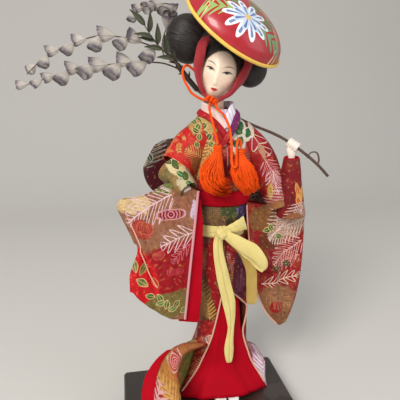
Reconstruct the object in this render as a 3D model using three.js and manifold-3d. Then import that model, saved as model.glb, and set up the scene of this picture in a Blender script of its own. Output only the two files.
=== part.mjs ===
// A kimono doll of the wisteria-dance kind on its lacquered display board.
// Millimetres, +Z up, the doll faces -Y. The origin is the centre of the board's underside.
// Left and right are the doll's own: its left is +X.
import * as THREE from "three";
import { mergeVertices } from "three/addons/utils/BufferGeometryUtils.js";
import Module from "manifold-3d";

const wasm = await Module();
wasm.setup();

// Clearances
const SEAT_GAP = 0.3; // between pieces that touch on the real doll
const BORE_GAP = 0.45; // round a wire, peg or stem in its hole

// Display board
const BASE_WIDTH = 180;
const BASE_DEPTH = 150;
const BASE_HEIGHT = 25;
const BASE_CORNER = 3;
const BASE_BEVEL = 1.5;
const SOCKET_DEPTH = 14;

// Where the doll stands: from the board's back edge and its left edge
const BACK_MARGIN = 31;
const LEFT_MARGIN = 71;
const DOLL_X = BASE_WIDTH / 2 - LEFT_MARGIN;
const DOLL_Y = BASE_DEPTH / 2 - BACK_MARGIN;

// Heights of the figure, each above the level before it
const KNEE_RISE = 70;
const HIP_RISE = 90;
const WAIST_RISE = 26;
const CHEST_RISE = 72;
const SHOULDER_RISE = 25;
const COLLAR_RISE = 25;
const KNEE_HEIGHT = KNEE_RISE;
const HIP_HEIGHT = KNEE_HEIGHT + HIP_RISE;
const WAIST_HEIGHT = HIP_HEIGHT + WAIST_RISE;
const CHEST_HEIGHT = WAIST_HEIGHT + CHEST_RISE;
const SHOULDER_HEIGHT = CHEST_HEIGHT + SHOULDER_RISE;
const COLLAR_HEIGHT = SHOULDER_HEIGHT + COLLAR_RISE;

// Half width and half depth of the dressed figure at those heights
const HEM_HALF_WIDTH = 52;
const HEM_HALF_DEPTH = 34;
const KNEE_HALF_WIDTH = 26;
const KNEE_HALF_DEPTH = 20;
const WAIST_HALF_WIDTH = 23;
const WAIST_HALF_DEPTH = 19;
const CHEST_HALF_WIDTH = 32;
const CHEST_HALF_DEPTH = 24;
const SHOULDER_HALF_WIDTH = 35;
const SHOULDER_HALF_DEPTH = 20;
const COLLAR_HALF_WIDTH = 15;
const COLLAR_HALF_DEPTH = 13;
const COLLAR_SHIFT = -5; // the collar sits towards the doll's right

// Cloth
const CLOTH = 1.7;
const HEM_FOLDS = 6;
const HEM_SQUARE = 0.58; // how far the hem's outline fills its corners, 1 for an ellipse
const FOLD_DEPTH = 2.2;
const FOLD_HEIGHT = 95;
const OPENING_DROP = 32; // from the hip to where the kimono skirt starts to part
const OPENING_RIGHT = 62; // degrees at the hem, towards the doll's right
const OPENING_LEFT = 56; // degrees at the hem, towards the doll's left
const OPENING_SPREAD = 45; // height in which the left edge swings aside
const HEM_LIFT = 10; // front hem above the board, over the toes

// Body
const CORE_SEAT = 10; // core below the hip
const NECK_DROP = 11; // core below the collar's top
const CORE_BOTTOM = HIP_HEIGHT - CORE_SEAT;
const CORE_TOP = COLLAR_HEIGHT - NECK_DROP;
const LEG_SPREAD = 8;
const LEG_RADIUS = 1.6;
const LEG_SEAT = 26;
const ARM_RADIUS = 2.6;
const FOOT_LENGTH = 52;
const FOOT_HALF_WIDTH = 6.5;
const FOOT_HEIGHT = 15;

// Bands at the waist
const SASH_BAND_HEIGHT = 11;
const OBI_HEIGHT = 20;
const OBI_THICKNESS = 3;
const OBI_SCARF_HEIGHT = 13;
const OBI_SCARF_THICKNESS = 3.6;
const SASH_THICKNESS = 2.2;
const SASH_WIDTH = 13.5;

// Head
const HEAD_HALF_WIDTH = 19;
const HEAD_HALF_DEPTH = 20;
const HEAD_HALF_HEIGHT = 26;
const HEAD_RISE = 44; // head centre above the top of the body core
const HEAD_X = -4.5;
const HEAD_Y = -4;
const HEAD_ROLL = 17;
const HEAD_NOD = 7;
const HEAD_YAW = -16;
const NECK_X = -6;
const NECK_Y = -1.5;
const NECK_RADIUS = 7.6;
const PEG_RADIUS = 3;
const PEG_LENGTH = 34;
const HAIR_THICKNESS = 3.2;
const WING_RADIUS = 22;
const SMALL_WING_RADIUS = 17;

// Hat
const HAT_RADIUS = 50.4;
const HAT_HEIGHT = 26;
const HAT_WALL = 2;
const HAT_LEAN = 26.5; // degrees towards the doll's left
const HAT_TILT = 36; // degrees forward over the face
const HAT_X = 12.5; // rim centre from the head centre
const HAT_Y = -8;
const HAT_Z = 38.5;
const RIM_WIDTH = 2;
const RIM_HEIGHT = 3;
const STRAP_THICKNESS = 4;

// Cords and tassels
const CORD_RADIUS = 1.1;
const SWING_GAP = 0.95; // knot to a cord that swings from it
const TASSEL_LENGTH = 44;
const TASSEL_RADIUS = 10.4;
const TASSEL_NECK = 3.4;

// Wisteria branch
const STEM_RADIUS = 1.5;
const STALK_RADIUS = 1;
const BLOSSOM_SIZE = 8.6;
const WRAP_RADIUS = 2.6;

const RAD = Math.PI / 180;

const COLOURS = {
  lacquer: [0x14110f, 0.35, 0],
  steel: [0x8c8c88, 0.35, 1],
  straw: [0xb79a5c, 0.95, 0],
  tabi: [0xe9e6de, 0.85, 0],
  skin: [0xeadcc8, 0.45, 0],
  wood: [0xb08a5a, 0.7, 0],
  hair: [0x17130f, 0.7, 0],
  red: [0xb01226, 0.75, 0],
  brocade: [0xa52a26, 0.65, 0],
  white: [0xe6d9de, 0.8, 0],
  obi: [0x3d4a2c, 0.6, 0],
  dark: [0x221a1c, 0.65, 0],
  sash: [0xe2d27a, 0.7, 0],
  redLacquer: [0xb8142c, 0.25, 0],
  gold: [0xe0b43a, 0.45, 0],
  orange: [0xe2491b, 0.8, 0],
  stem: [0x4a2f24, 0.75, 0],
  leaf: [0x2c3d27, 0.7, 0],
  blossom: [0x9a8f98, 0.75, 0],
};

const vec = (x, y, z) => new THREE.Vector3(x, y, z);
const smooth = (x) => THREE.MathUtils.smoothstep(x, 0, 1);
const lerp = THREE.MathUtils.lerp;

// Solids from grids of points

function solidFrom(points, triangles) {
  const geometry = new THREE.BufferGeometry();
  const flat = points.flatMap((p) => [p.x, p.y, p.z]);
  geometry.setAttribute("position", new THREE.Float32BufferAttribute(flat, 3));
  let volume = 0;
  const cross = vec(0, 0, 0);
  for (const [a, b, c] of triangles) {
    volume += points[a].dot(cross.crossVectors(points[b], points[c]));
  }
  const facing = volume < 0 ? triangles.map(([a, b, c]) => [a, c, b]) : triangles;
  geometry.setIndex(facing.flat());
  return geometry;
}

// Closed solid between two grids of equal size; a wrapped grid closes on itself along its columns
function between(front, back, wrapped = false) {
  const rows = front.length;
  const cols = front[0].length;
  const points = [...front.flat(), ...back.flat()];
  const at = (side, i, j) => side * rows * cols + i * cols + (j % cols);
  const triangles = [];
  const quad = (a, b, c, d) => triangles.push([a, b, c], [a, c, d]);
  const spans = wrapped ? cols : cols - 1;
  for (let i = 0; i < rows - 1; i += 1) {
    for (let j = 0; j < spans; j += 1) {
      quad(at(0, i, j), at(0, i, j + 1), at(0, i + 1, j + 1), at(0, i + 1, j));
      quad(at(1, i, j), at(1, i + 1, j), at(1, i + 1, j + 1), at(1, i, j + 1));
    }
  }
  for (let j = 0; j < spans; j += 1) {
    quad(at(0, 0, j + 1), at(0, 0, j), at(1, 0, j), at(1, 0, j + 1));
    const last = rows - 1;
    quad(at(0, last, j), at(0, last, j + 1), at(1, last, j + 1), at(1, last, j));
  }
  if (!wrapped) {
    for (let i = 0; i < rows - 1; i += 1) {
      quad(at(0, i, 0), at(0, i + 1, 0), at(1, i + 1, 0), at(1, i, 0));
      const last = cols - 1;
      quad(at(0, i + 1, last), at(0, i, last), at(1, i, last), at(1, i + 1, last));
    }
  }
  return solidFrom(points, triangles);
}

// Closed solid through a row of rings, with a fan over each end
function loft(rings) {
  const count = rings[0].length;
  const points = rings.flat();
  const triangles = [];
  for (let i = 0; i < rings.length - 1; i += 1) {
    for (let j = 0; j < count; j += 1) {
      const k = (j + 1) % count;
      const a = i * count;
      triangles.push([a + j, a + k, a + count + k], [a + j, a + count + k, a + count + j]);
    }
  }
  for (const [row, start] of [[0, 0], [rings.length - 1, (rings.length - 1) * count]]) {
    const centre = rings[row].reduce((sum, p) => sum.add(p), vec(0, 0, 0)).divideScalar(count);
    const apex = points.push(centre) - 1;
    for (let j = 0; j < count; j += 1) {
      const k = (j + 1) % count;
      triangles.push(row === 0 ? [apex, start + k, start + j] : [apex, start + j, start + k]);
    }
  }
  return solidFrom(points, triangles);
}

function curve(points) {
  return new THREE.CatmullRomCurve3(points.map((p) => vec(...p)), false, "centripetal");
}

// Rings of ellipses along a curve; size(t) gives the half width across `across` and the other half
function ringsAlong(path, size, steps, sides, across = vec(0, 1, 0)) {
  const rings = [];
  for (let i = 0; i <= steps; i += 1) {
    const t = i / steps;
    const centre = path.getPointAt(t);
    const tangent = path.getTangentAt(t);
    const side = across.clone().addScaledVector(tangent, -across.dot(tangent)).normalize();
    const other = vec(0, 0, 0).crossVectors(tangent, side);
    const [w, h] = size(t);
    const ring = [];
    for (let j = 0; j < sides; j += 1) {
      const angle = (j / sides) * Math.PI * 2;
      const p = centre.clone().addScaledVector(side, w * Math.cos(angle));
      ring.push(p.addScaledVector(other, h * Math.sin(angle)));
    }
    rings.push(ring);
  }
  return rings;
}

function tube(points, radius, sides = 8, steps = 12) {
  const shape = new THREE.Shape();
  shape.absarc(0, 0, radius, 0, Math.PI * 2);
  const options = { steps, bevelEnabled: false, curveSegments: sides / 2, extrudePath: curve(points) };
  return new THREE.ExtrudeGeometry(shape, options);
}

function blob(centre, radii, wide = 14, high = 10) {
  const geometry = new THREE.SphereGeometry(1, wide, high);
  geometry.rotateX(Math.PI / 2);
  geometry.scale(...radii);
  geometry.translate(...centre);
  return geometry;
}

function box(from, to) {
  const geometry = new THREE.BoxGeometry(to[0] - from[0], to[1] - from[1], to[2] - from[2]);
  geometry.translate((from[0] + to[0]) / 2, (from[1] + to[1]) / 2, (from[2] + to[2]) / 2);
  return geometry;
}

function rod(x, y, z0, z1, radius, sides = 12) {
  const geometry = new THREE.CylinderGeometry(radius, radius, z1 - z0, sides);
  geometry.rotateX(Math.PI / 2);
  geometry.translate(x, y, (z0 + z1) / 2);
  return geometry;
}

// Booleans

function toManifold(geometry) {
  const bare = geometry.clone();
  bare.deleteAttribute("normal");
  bare.deleteAttribute("uv");
  const merged = mergeVertices(bare, 1e-4);
  const vertProperties = Float32Array.from(merged.attributes.position.array);
  const triVerts = Uint32Array.from(merged.index.array);
  return new wasm.Manifold(new wasm.Mesh({ numProp: 3, vertProperties, triVerts }));
}

function fromManifold(solid) {
  const mesh = solid.simplify(0.06).getMesh();
  const geometry = new THREE.BufferGeometry();
  geometry.setAttribute("position", new THREE.BufferAttribute(mesh.vertProperties, 3));
  geometry.setIndex(new THREE.BufferAttribute(mesh.triVerts, 1));
  return geometry;
}

function cut(geometry, ...tools) {
  const solid = tools.reduce((left, tool) => left.subtract(toManifold(tool)), toManifold(geometry));
  return fromManifold(solid);
}

function join(geometry, ...others) {
  const solid = others.reduce((sum, other) => sum.add(toManifold(other)), toManifold(geometry));
  return fromManifold(solid);
}

// The largest of the bodies a cut leaves, where a cut also frees slivers
function largest(geometry) {
  const bodies = toManifold(geometry).decompose();
  bodies.sort((a, b) => b.volume() - a.volume());
  return fromManifold(bodies[0]);
}

// The dressed figure: ellipses by height, shared by every layer of clothing

const FIGURE = [
  [0, HEM_HALF_WIDTH, HEM_HALF_DEPTH],
  [KNEE_HEIGHT / 2, (HEM_HALF_WIDTH + KNEE_HALF_WIDTH * 2) / 3, (HEM_HALF_DEPTH + KNEE_HALF_DEPTH * 2) / 3],
  [KNEE_HEIGHT, KNEE_HALF_WIDTH, KNEE_HALF_DEPTH],
  [HIP_HEIGHT, WAIST_HALF_WIDTH, WAIST_HALF_DEPTH],
  [WAIST_HEIGHT, WAIST_HALF_WIDTH, WAIST_HALF_DEPTH],
  [CHEST_HEIGHT, CHEST_HALF_WIDTH, CHEST_HALF_DEPTH],
  [SHOULDER_HEIGHT, SHOULDER_HALF_WIDTH, SHOULDER_HALF_DEPTH],
  [COLLAR_HEIGHT - 7, COLLAR_HALF_WIDTH + 5, COLLAR_HALF_DEPTH + 2],
  [COLLAR_HEIGHT, COLLAR_HALF_WIDTH, COLLAR_HALF_DEPTH],
];

function slopeAt(index, column) {
  const before = FIGURE[Math.max(index - 1, 0)];
  const after = FIGURE[Math.min(index + 1, FIGURE.length - 1)];
  return (after[column] - before[column]) / (after[0] - before[0]);
}

function figureAt(z, column) {
  const last = FIGURE.length - 1;
  if (z <= FIGURE[0][0]) return FIGURE[0][column];
  if (z >= FIGURE[last][0]) return FIGURE[last][column];
  const i = FIGURE.findIndex((row, k) => k < last && z < FIGURE[k + 1][0]);
  const span = FIGURE[i + 1][0] - FIGURE[i][0];
  const t = (z - FIGURE[i][0]) / span;
  const rise = t * t * (3 - 2 * t);
  const early = t * (1 - t) * (1 - t) * span * slopeAt(i, column);
  const late = t * t * (t - 1) * span * slopeAt(i + 1, column);
  return lerp(FIGURE[i][column], FIGURE[i + 1][column], rise) + 0.6 * (early + late);
}

// A place on the figure: the angle runs from the front towards the doll's left
function onFigure(angle, z, offset) {
  const fold = FOLD_DEPTH * smooth(1 - z / FOLD_HEIGHT) * Math.cos(HEM_FOLDS * angle);
  const shift = COLLAR_SHIFT * smooth((z - CHEST_HEIGHT) / (COLLAR_HEIGHT - CHEST_HEIGHT));
  const power = lerp(1, HEM_SQUARE, smooth(1 - z / KNEE_HEIGHT));
  const fill = (w) => Math.sign(w) * Math.pow(Math.abs(w), power);
  const x = shift + (figureAt(z, 1) + offset + fold) * fill(Math.sin(angle));
  const y = -(figureAt(z, 2) + offset + fold) * fill(Math.cos(angle));
  return vec(x, y, z);
}

function figureRing(z, offset, sides) {
  const ring = [];
  for (let j = 0; j < sides; j += 1) ring.push(onFigure((j / sides) * Math.PI * 2, z, offset));
  return ring;
}

// Waist bands, one above the other
const SASH_Z = WAIST_HEIGHT - 4;
const OBI_Z = SASH_Z + SASH_BAND_HEIGHT + SEAT_GAP;
const SCARF_Z = OBI_Z + OBI_HEIGHT + SEAT_GAP;

// Every layer takes its rings at the same heights and angles, so that layers nest facet for facet
const LEVELS = [
  KNEE_HEIGHT * 0.2,
  KNEE_HEIGHT * 0.5,
  KNEE_HEIGHT,
  (KNEE_HEIGHT + HIP_HEIGHT) / 2,
  HIP_HEIGHT,
  SASH_Z,
  WAIST_HEIGHT,
  OBI_Z,
  SCARF_Z,
  SCARF_Z + OBI_SCARF_HEIGHT,
  CHEST_HEIGHT,
  (CHEST_HEIGHT + SHOULDER_HEIGHT) / 2,
  SHOULDER_HEIGHT,
  COLLAR_HEIGHT - 16,
  COLLAR_HEIGHT - 7,
];
const AROUND = 24;

function levelsIn(from, to) {
  return [from, ...LEVELS.filter((z) => z > from + SEAT_GAP * 2 && z < to - SEAT_GAP * 2), to];
}

function figureSolid(from, to, offset) {
  return loft(levelsIn(from, to).map((z) => figureRing(z, offset, AROUND)));
}

// A layer all round the figure from one offset out to another
function figureLayer(from, to, inner, outer) {
  const levels = levelsIn(from, to);
  const outside = levels.map((z) => figureRing(z, outer, AROUND));
  const inside = levels.map((z) => figureRing(z, inner, AROUND));
  return between(outside, inside, true);
}

// Display board and what stands in it

function baseBoard() {
  const w = BASE_WIDTH / 2 - BASE_BEVEL;
  const d = BASE_DEPTH / 2 - BASE_BEVEL;
  const r = BASE_CORNER;
  const shape = new THREE.Shape();
  shape.moveTo(-w + r, -d);
  shape.lineTo(w - r, -d);
  shape.absarc(w - r, -d + r, r, -Math.PI / 2, 0);
  shape.lineTo(w, d - r);
  shape.absarc(w - r, d - r, r, 0, Math.PI / 2);
  shape.lineTo(-w + r, d);
  shape.absarc(-w + r, d - r, r, Math.PI / 2, Math.PI);
  shape.lineTo(-w, -d + r);
  shape.absarc(-w + r, -d + r, r, Math.PI, Math.PI * 1.5);
  const board = new THREE.ExtrudeGeometry(shape, {
    depth: BASE_HEIGHT - BASE_BEVEL * 2,
    bevelThickness: BASE_BEVEL,
    bevelSize: BASE_BEVEL,
    bevelSegments: 1,
    curveSegments: 4,
  });
  board.translate(0, 0, BASE_BEVEL);
  const bottom = BASE_HEIGHT - SOCKET_DEPTH;
  const sockets = [-1, 1].map((side) => {
    return rod(DOLL_X + side * LEG_SPREAD, DOLL_Y, bottom, BASE_HEIGHT + 1, LEG_RADIUS + BORE_GAP);
  });
  return cut(board, ...sockets);
}

function legWire(side) {
  const from = SEAT_GAP - SOCKET_DEPTH;
  return rod(side * LEG_SPREAD, 0, from, CORE_BOTTOM + LEG_SEAT - SEAT_GAP, LEG_RADIUS, 10);
}

// Split-toe sock over a carved foot, standing on the board, bored for its leg wire.
// Stations run from heel to toe: place along the foot, half width and height as shares.
const FOOT_STATIONS = [[0, 0.55, 0.75], [0.12, 0.8, 1], [0.35, 0.78, 0.95], [0.6, 0.95, 0.66],
  [0.82, 1, 0.46], [0.95, 0.8, 0.38], [1, 0.45, 0.26]];
const TOE_IN = 1.2;

function foot(side) {
  const heel = FOOT_LENGTH * 0.2;
  const rings = FOOT_STATIONS.map(([t, wide, high]) => {
    const half = (FOOT_HEIGHT * high) / 2;
    const turn = side * (LEG_SPREAD - TOE_IN * t * t);
    return Array.from({ length: 12 }, (_, j) => {
      const angle = (j / 12) * Math.PI * 2;
      const flat = Math.sin(angle) < 0 ? 0.6 : 1;
      const z = half * (0.6 + Math.sin(angle) * flat * 1.25);
      const x = turn + FOOT_HALF_WIDTH * wide * Math.cos(angle);
      return vec(x, heel - FOOT_LENGTH * t, SEAT_GAP + Math.max(z, 0));
    });
  });
  return cut(loft(rings), rod(side * LEG_SPREAD, 0, -1, FOOT_HEIGHT * 2, LEG_RADIUS + BORE_GAP));
}

function bodyCore() {
  const core = figureSolid(CORE_BOTTOM, CORE_TOP, -CLOTH - SEAT_GAP);
  const legs = [-1, 1].map((side) => {
    const top = CORE_BOTTOM + LEG_SEAT;
    return rod(side * LEG_SPREAD, 0, CORE_BOTTOM - 1, top, LEG_RADIUS + BORE_GAP);
  });
  const bore = rod(NECK_X, NECK_Y, CORE_TOP - PEG_LENGTH * 0.7, CORE_TOP + 9, PEG_RADIUS + BORE_GAP, 20);
  return cut(core, ...legs, bore);
}

// Arms: bound wires from the shoulders to the hands

const RIGHT_SHOULDER = [-20, 0, SHOULDER_HEIGHT - 3];
const RIGHT_ELBOW = [-48, -11, SHOULDER_HEIGHT - 35];
const RIGHT_WRIST = [-43, -29, SHOULDER_HEIGHT - 48];
const LEFT_SHOULDER = [20, 0, SHOULDER_HEIGHT - 3];
const LEFT_ELBOW = [67, -13, SHOULDER_HEIGHT - 88];
const LEFT_WRIST = [68, -18, SHOULDER_HEIGHT - 26];
const LEFT_HAND = [68.6, -19, SHOULDER_HEIGHT - 12];

const RIGHT_ARM_PATH = [RIGHT_SHOULDER, [-34, -2, SHOULDER_HEIGHT - 18], RIGHT_ELBOW, RIGHT_WRIST];
const LEFT_ARM_PATH = [LEFT_SHOULDER, [44, -5, SHOULDER_HEIGHT - 45], LEFT_ELBOW,
  [69, -16, SHOULDER_HEIGHT - 55], LEFT_WRIST];

function arm(path, grow = 0) {
  return tube(path, ARM_RADIUS + grow, 8, 8);
}

function armPiece(path) {
  return cut(arm(path), figureSolid(CORE_BOTTOM, CORE_TOP, -CLOTH));
}

// Kimono body, under-layers and collars

const NECK_V_HEIGHT = SHOULDER_HEIGHT - 13;

function bodice() {
  const shell = figureLayer(WAIST_HEIGHT + SEAT_GAP, COLLAR_HEIGHT, -CLOTH, 0);
  return cut(shell, arm(RIGHT_ARM_PATH, SEAT_GAP), arm(LEFT_ARM_PATH, SEAT_GAP), neckOpening());
}

// The crossed fronts leave a V below the throat
function neckOpening() {
  const rise = COLLAR_HEIGHT + CLOTH - NECK_V_HEIGHT;
  const shape = new THREE.Shape();
  shape.moveTo(0, 0);
  shape.lineTo(COLLAR_HALF_WIDTH, rise);
  shape.lineTo(-COLLAR_HALF_WIDTH, rise);
  const wedge = new THREE.ExtrudeGeometry(shape, { depth: CHEST_HALF_DEPTH * 2, bevelEnabled: false });
  wedge.rotateX(Math.PI / 2);
  wedge.translate(COLLAR_SHIFT, 0, NECK_V_HEIGHT);
  return wedge;
}

const OPENING_TOP = HIP_HEIGHT - OPENING_DROP;
const EDGE_ANGLE = 1.2 * RAD; // half the parting at its top

function openingRight(z) {
  const open = THREE.MathUtils.clamp((OPENING_TOP - z) / OPENING_TOP, 0, 1);
  return EDGE_ANGLE + OPENING_RIGHT * RAD * Math.pow(open, 1.1);
}

function openingLeft(z) {
  return EDGE_ANGLE + OPENING_LEFT * RAD * smooth((OPENING_TOP - z) / OPENING_SPREAD);
}

// Brocade skirt: parts at the front in an upturned V and runs round the back.
// Below the train its cloth goes on outwards as a wall under the arched roll.
function skirt() {
  const heights = [0, 0.2, 0.4, 0.6, 0.8, 0.9, 1].map((k) => lerp(-2, OPENING_TOP, k));
  const parting = (offset) => heights.map((z) => Array.from({ length: 13 }, (_, j) => {
    return onFigure(lerp(-openingRight(z), openingLeft(z), j / 12), z, offset);
  }));
  const cloth = figureLayer(SEAT_GAP, WAIST_HEIGHT - SEAT_GAP, -CLOTH, 0);
  const opened = cut(cloth, between(parting(CLOTH * 3), parting(-CLOTH * 4)));
  return largest(join(opened, trainWall()));
}

// Plain red under-robe, seen in the opening; its front hem lifts over the toes
function underRobe() {
  const outer = -CLOTH - SEAT_GAP;
  const robe = figureLayer(SEAT_GAP, CORE_BOTTOM - SEAT_GAP * 2, outer - CLOTH, outer);
  const arch = new THREE.CylinderGeometry(HEM_LIFT, HEM_LIFT, HEM_HALF_DEPTH * 2, 14);
  arch.scale(2.6, 1, 1);
  arch.translate(0, -HEM_HALF_DEPTH, 0);
  return cut(robe, arch);
}

// A band along the neckline: from the V at the chest, round the nape and back to the V.
// `inset` moves it from the kimono's edge towards the neck.
function neckBand(halfWidth, inset, inner, outer, start) {
  const steps = 26;
  const napeHeight = COLLAR_HEIGHT - 5;
  const centreAt = (t) => {
    const angle = -(start + t * (Math.PI * 2 - 2 * start));
    const rise = 1 - Math.pow(Math.abs(1 - 2 * t), 4);
    return [angle, lerp(NECK_V_HEIGHT, napeHeight, rise)];
  };
  const grid = (offset) => Array.from({ length: steps + 1 }, (_, i) => {
    const t = i / steps;
    const [angle, z] = centreAt(t);
    const [a0, z0] = centreAt(Math.max(t - 0.01, 0));
    const [a1, z1] = centreAt(Math.min(t + 0.01, 1));
    const radius = (figureAt(z, 1) + figureAt(z, 2)) / 2;
    const along = (a1 - a0) * radius;
    const length = Math.hypot(along, z1 - z0);
    return [-1, 1].map((w) => {
      const reach = inset + w * halfWidth;
      const turn = ((z1 - z0) / length) * (reach / radius);
      return onFigure(angle + turn, z - (along / length) * reach, offset);
    });
  });
  return between(grid(outer), grid(inner));
}

const FIGURE_ENVELOPE = figureSolid(WAIST_HEIGHT - 30, COLLAR_HEIGHT + 6, SEAT_GAP);
const COLLAR_TOP_OFFSET = SEAT_GAP + CLOTH;

function collarPiece(halfWidth, inset, start) {
  return largest(cut(neckBand(halfWidth, inset, -CLOTH * 0.5, COLLAR_TOP_OFFSET, start), FIGURE_ENVELOPE));
}

const KIMONO_COLLAR_HALF = 4;
const UNDER_COLLAR_HALF = 3.6;

function kimonoCollar() {
  return collarPiece(KIMONO_COLLAR_HALF, 0, 0.26);
}

function underCollar() {
  const band = collarPiece(UNDER_COLLAR_HALF, KIMONO_COLLAR_HALF + UNDER_COLLAR_HALF + SEAT_GAP * 2, 0.32);
  return largest(cut(band, neckBand(KIMONO_COLLAR_HALF + SEAT_GAP, 0, -CLOTH, COLLAR_TOP_OFFSET + 1, 0.22)));
}

// Waist: hip sash, obi and the scarf above it

function waistBand(from, height, thickness) {
  return figureLayer(from, from + height, SEAT_GAP, SEAT_GAP + thickness);
}

// A ribbon: a flat strip along a path, `across` giving its width direction
function ribbon(points, width, thickness, steps, across) {
  const path = curve(points);
  const size = (t) => [width(t) / 2, thickness / 2];
  return loft(ringsAlong(path, size, steps, 6, across));
}

function sashFront(z) {
  return -(figureAt(z, 2) + SASH_THICKNESS + SEAT_GAP);
}

const KNOT_X = -3;
const KNOT_Z = SASH_Z + 6;
const KNOT_SIZE = [8, 5, 9];
const KNOT_Y = sashFront(KNOT_Z) - SEAT_GAP - KNOT_SIZE[1];

function sashKnot(grow = 0) {
  return blob([KNOT_X, KNOT_Y, KNOT_Z], KNOT_SIZE.map((r) => r + grow), 12, 8);
}

function sashPiece(points, width, steps, across) {
  return largest(cut(ribbon(points, width, SASH_THICKNESS, steps, across), sashKnot(SEAT_GAP)));
}

// In front of the skirt at a height, clear of its folds
function skirtFront(z) {
  return -(figureAt(z, 2) + FOLD_DEPTH + SASH_THICKNESS + SEAT_GAP);
}

function sashLongTail() {
  const hang = (dx, drop) => [KNOT_X + dx, skirtFront(KNOT_Z - drop), KNOT_Z - drop];
  const points = [[KNOT_X, KNOT_Y, KNOT_Z], hang(-4, 22), hang(2, 54), hang(8, 83), hang(10, 106),
    hang(7, 130), hang(7.4, 148)];
  return sashPiece(points, (t) => lerp(10, SASH_WIDTH + 1, smooth(t * 1.6)), 10, vec(1, 0, 0));
}

function shortTailPath() {
  const hang = (dx, dy, drop) => [KNOT_X + dx, skirtFront(KNOT_Z - drop) + dy, KNOT_Z - drop];
  return [[KNOT_X + 2, KNOT_Y + 1, KNOT_Z - 3], hang(16, 1, 26), hang(25, 2, 45), hang(28, 3, 66),
    hang(30, 3, 86)];
}

function shortTailWidth(t) {
  return lerp(8, SASH_WIDTH - 3, smooth(t * 2));
}

const SHORT_TAIL_ACROSS = vec(1, -0.7, 0.2);

function sashShortTail() {
  return sashPiece(shortTailPath(), shortTailWidth, 7, SHORT_TAIL_ACROSS);
}

// Flattened loop that falls to the doll's left and comes back behind itself
function sashLoop() {
  const at = (dx, dy, dz) => [KNOT_X + dx, KNOT_Y + dy, KNOT_Z + dz];
  const points = [at(3, -1, -2), at(17, -4.5, -11), at(31, -7.5, -22), at(41, -8.5, -35),
    at(44.5, -6, -42.5), at(40, -3.6, -37), at(30, -3, -25), at(16, -1.6, -14)];
  const width = (t) => SASH_WIDTH + 1 - 2 * Math.cos(t * Math.PI * 2);
  const loop = sashPiece(points, width, 14, vec(0.6, -0.2, 0.75));
  const tailWidth = (t) => shortTailWidth(t) + SEAT_GAP * 2;
  const tailSpace = ribbon(shortTailPath(), tailWidth, SASH_THICKNESS + SEAT_GAP * 2, 7, SHORT_TAIL_ACROSS);
  return largest(cut(loop, tailSpace));
}

function sashEar() {
  const at = (dx, dy, dz) => [KNOT_X + dx, KNOT_Y + dy, KNOT_Z + dz];
  const points = [at(3, 0, 3), at(12, -2, 8), at(20, -2, 15), at(26, -1, 18)];
  return sashPiece(points, (t) => lerp(7, SASH_WIDTH, smooth(t * 1.5)), 5, vec(-0.6, -0.2, 0.8));
}

// Obi bow at the back: a slanting flat loop with an open end, held by a band

const BOW_LENGTH = 148;
const BOW_HALF_WIDTH = 34;
const BOW_HALF_DEPTH = 7;
const BOW_KNOT_HALF_WIDTH = 14;
const BOW_KNOT_HALF_DEPTH = 5.5;
const BOW_SLOPE = 29;
const BOW_BAND_WIDTH = 16;
const BOW_BAND_THICKNESS = 2.1;
const BOW_BACK = WAIST_HALF_DEPTH + OBI_THICKNESS + SEAT_GAP * 2;
const BOW_CENTRE = [-8, BOW_BACK + BOW_HALF_DEPTH + BOW_KNOT_HALF_DEPTH, WAIST_HEIGHT + 35];

// Half width along the bow: narrow under the band, full in the loops, rounded in at the ends
function bowHalfWidth(t) {
  const s = Math.abs(2 * t - 1);
  const full = lerp(BOW_KNOT_HALF_WIDTH, BOW_HALF_WIDTH, smooth(s / 0.6));
  return full * Math.sqrt(1 - 0.85 * Math.pow(Math.max((s - 0.55) / 0.45, 0), 2));
}

function bowRings(inset) {
  const half = BOW_LENGTH / 2;
  const dx = Math.cos(BOW_SLOPE * RAD) * half;
  const dz = Math.sin(BOW_SLOPE * RAD) * half;
  const [x, y, z] = BOW_CENTRE;
  const path = curve([[x - dx, y - 3, z + dz], [x - dx / 2, y + 1, z + dz / 2], [x, y, z],
    [x + dx / 2, y + 1, z - dz / 2], [x + dx, y - 1, z - dz]]);
  const size = (t) => {
    const flare = Math.pow(Math.abs(2 * t - 1), 1.4);
    return [bowHalfWidth(t) - inset, lerp(BOW_KNOT_HALF_DEPTH, BOW_HALF_DEPTH, flare) - inset];
  };
  return ringsAlong(path, size, 12, 12, vec(Math.sin(BOW_SLOPE * RAD), 0, Math.cos(BOW_SLOPE * RAD)));
}

function obiBow() {
  return between(bowRings(0), bowRings(CLOTH), true);
}

// Band round the waist of the bow, its inner side against the obi
function obiBowBand() {
  const oval = (grow, reach) => {
    const shape = new THREE.Shape();
    const w = BOW_KNOT_HALF_WIDTH + SEAT_GAP + grow;
    shape.absellipse(0, 0, w, BOW_KNOT_HALF_DEPTH + SEAT_GAP + reach, 0, Math.PI * 2);
    return shape;
  };
  const play = 5; // the bow widens inside the band
  const shape = oval(play + BOW_BAND_THICKNESS, BOW_HALF_DEPTH);
  shape.holes.push(oval(play, SEAT_GAP / 2));
  const options = { depth: BOW_BAND_WIDTH, bevelEnabled: false, curveSegments: 10 };
  const band = new THREE.ExtrudeGeometry(shape, options);
  band.translate(0, 0, -BOW_BAND_WIDTH / 2);
  band.rotateY(Math.PI / 2);
  band.rotateY(BOW_SLOPE * RAD);
  band.translate(...BOW_CENTRE);
  const obiSpace = figureSolid(WAIST_HEIGHT, SHOULDER_HEIGHT, OBI_SCARF_THICKNESS + SEAT_GAP * 2);
  return largest(cut(band, obiSpace, loft(bowRings(-SEAT_GAP))));
}

// Sleeves: a puffed upper part, a forearm part with the wrist opening, and the long hanging bag

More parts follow.
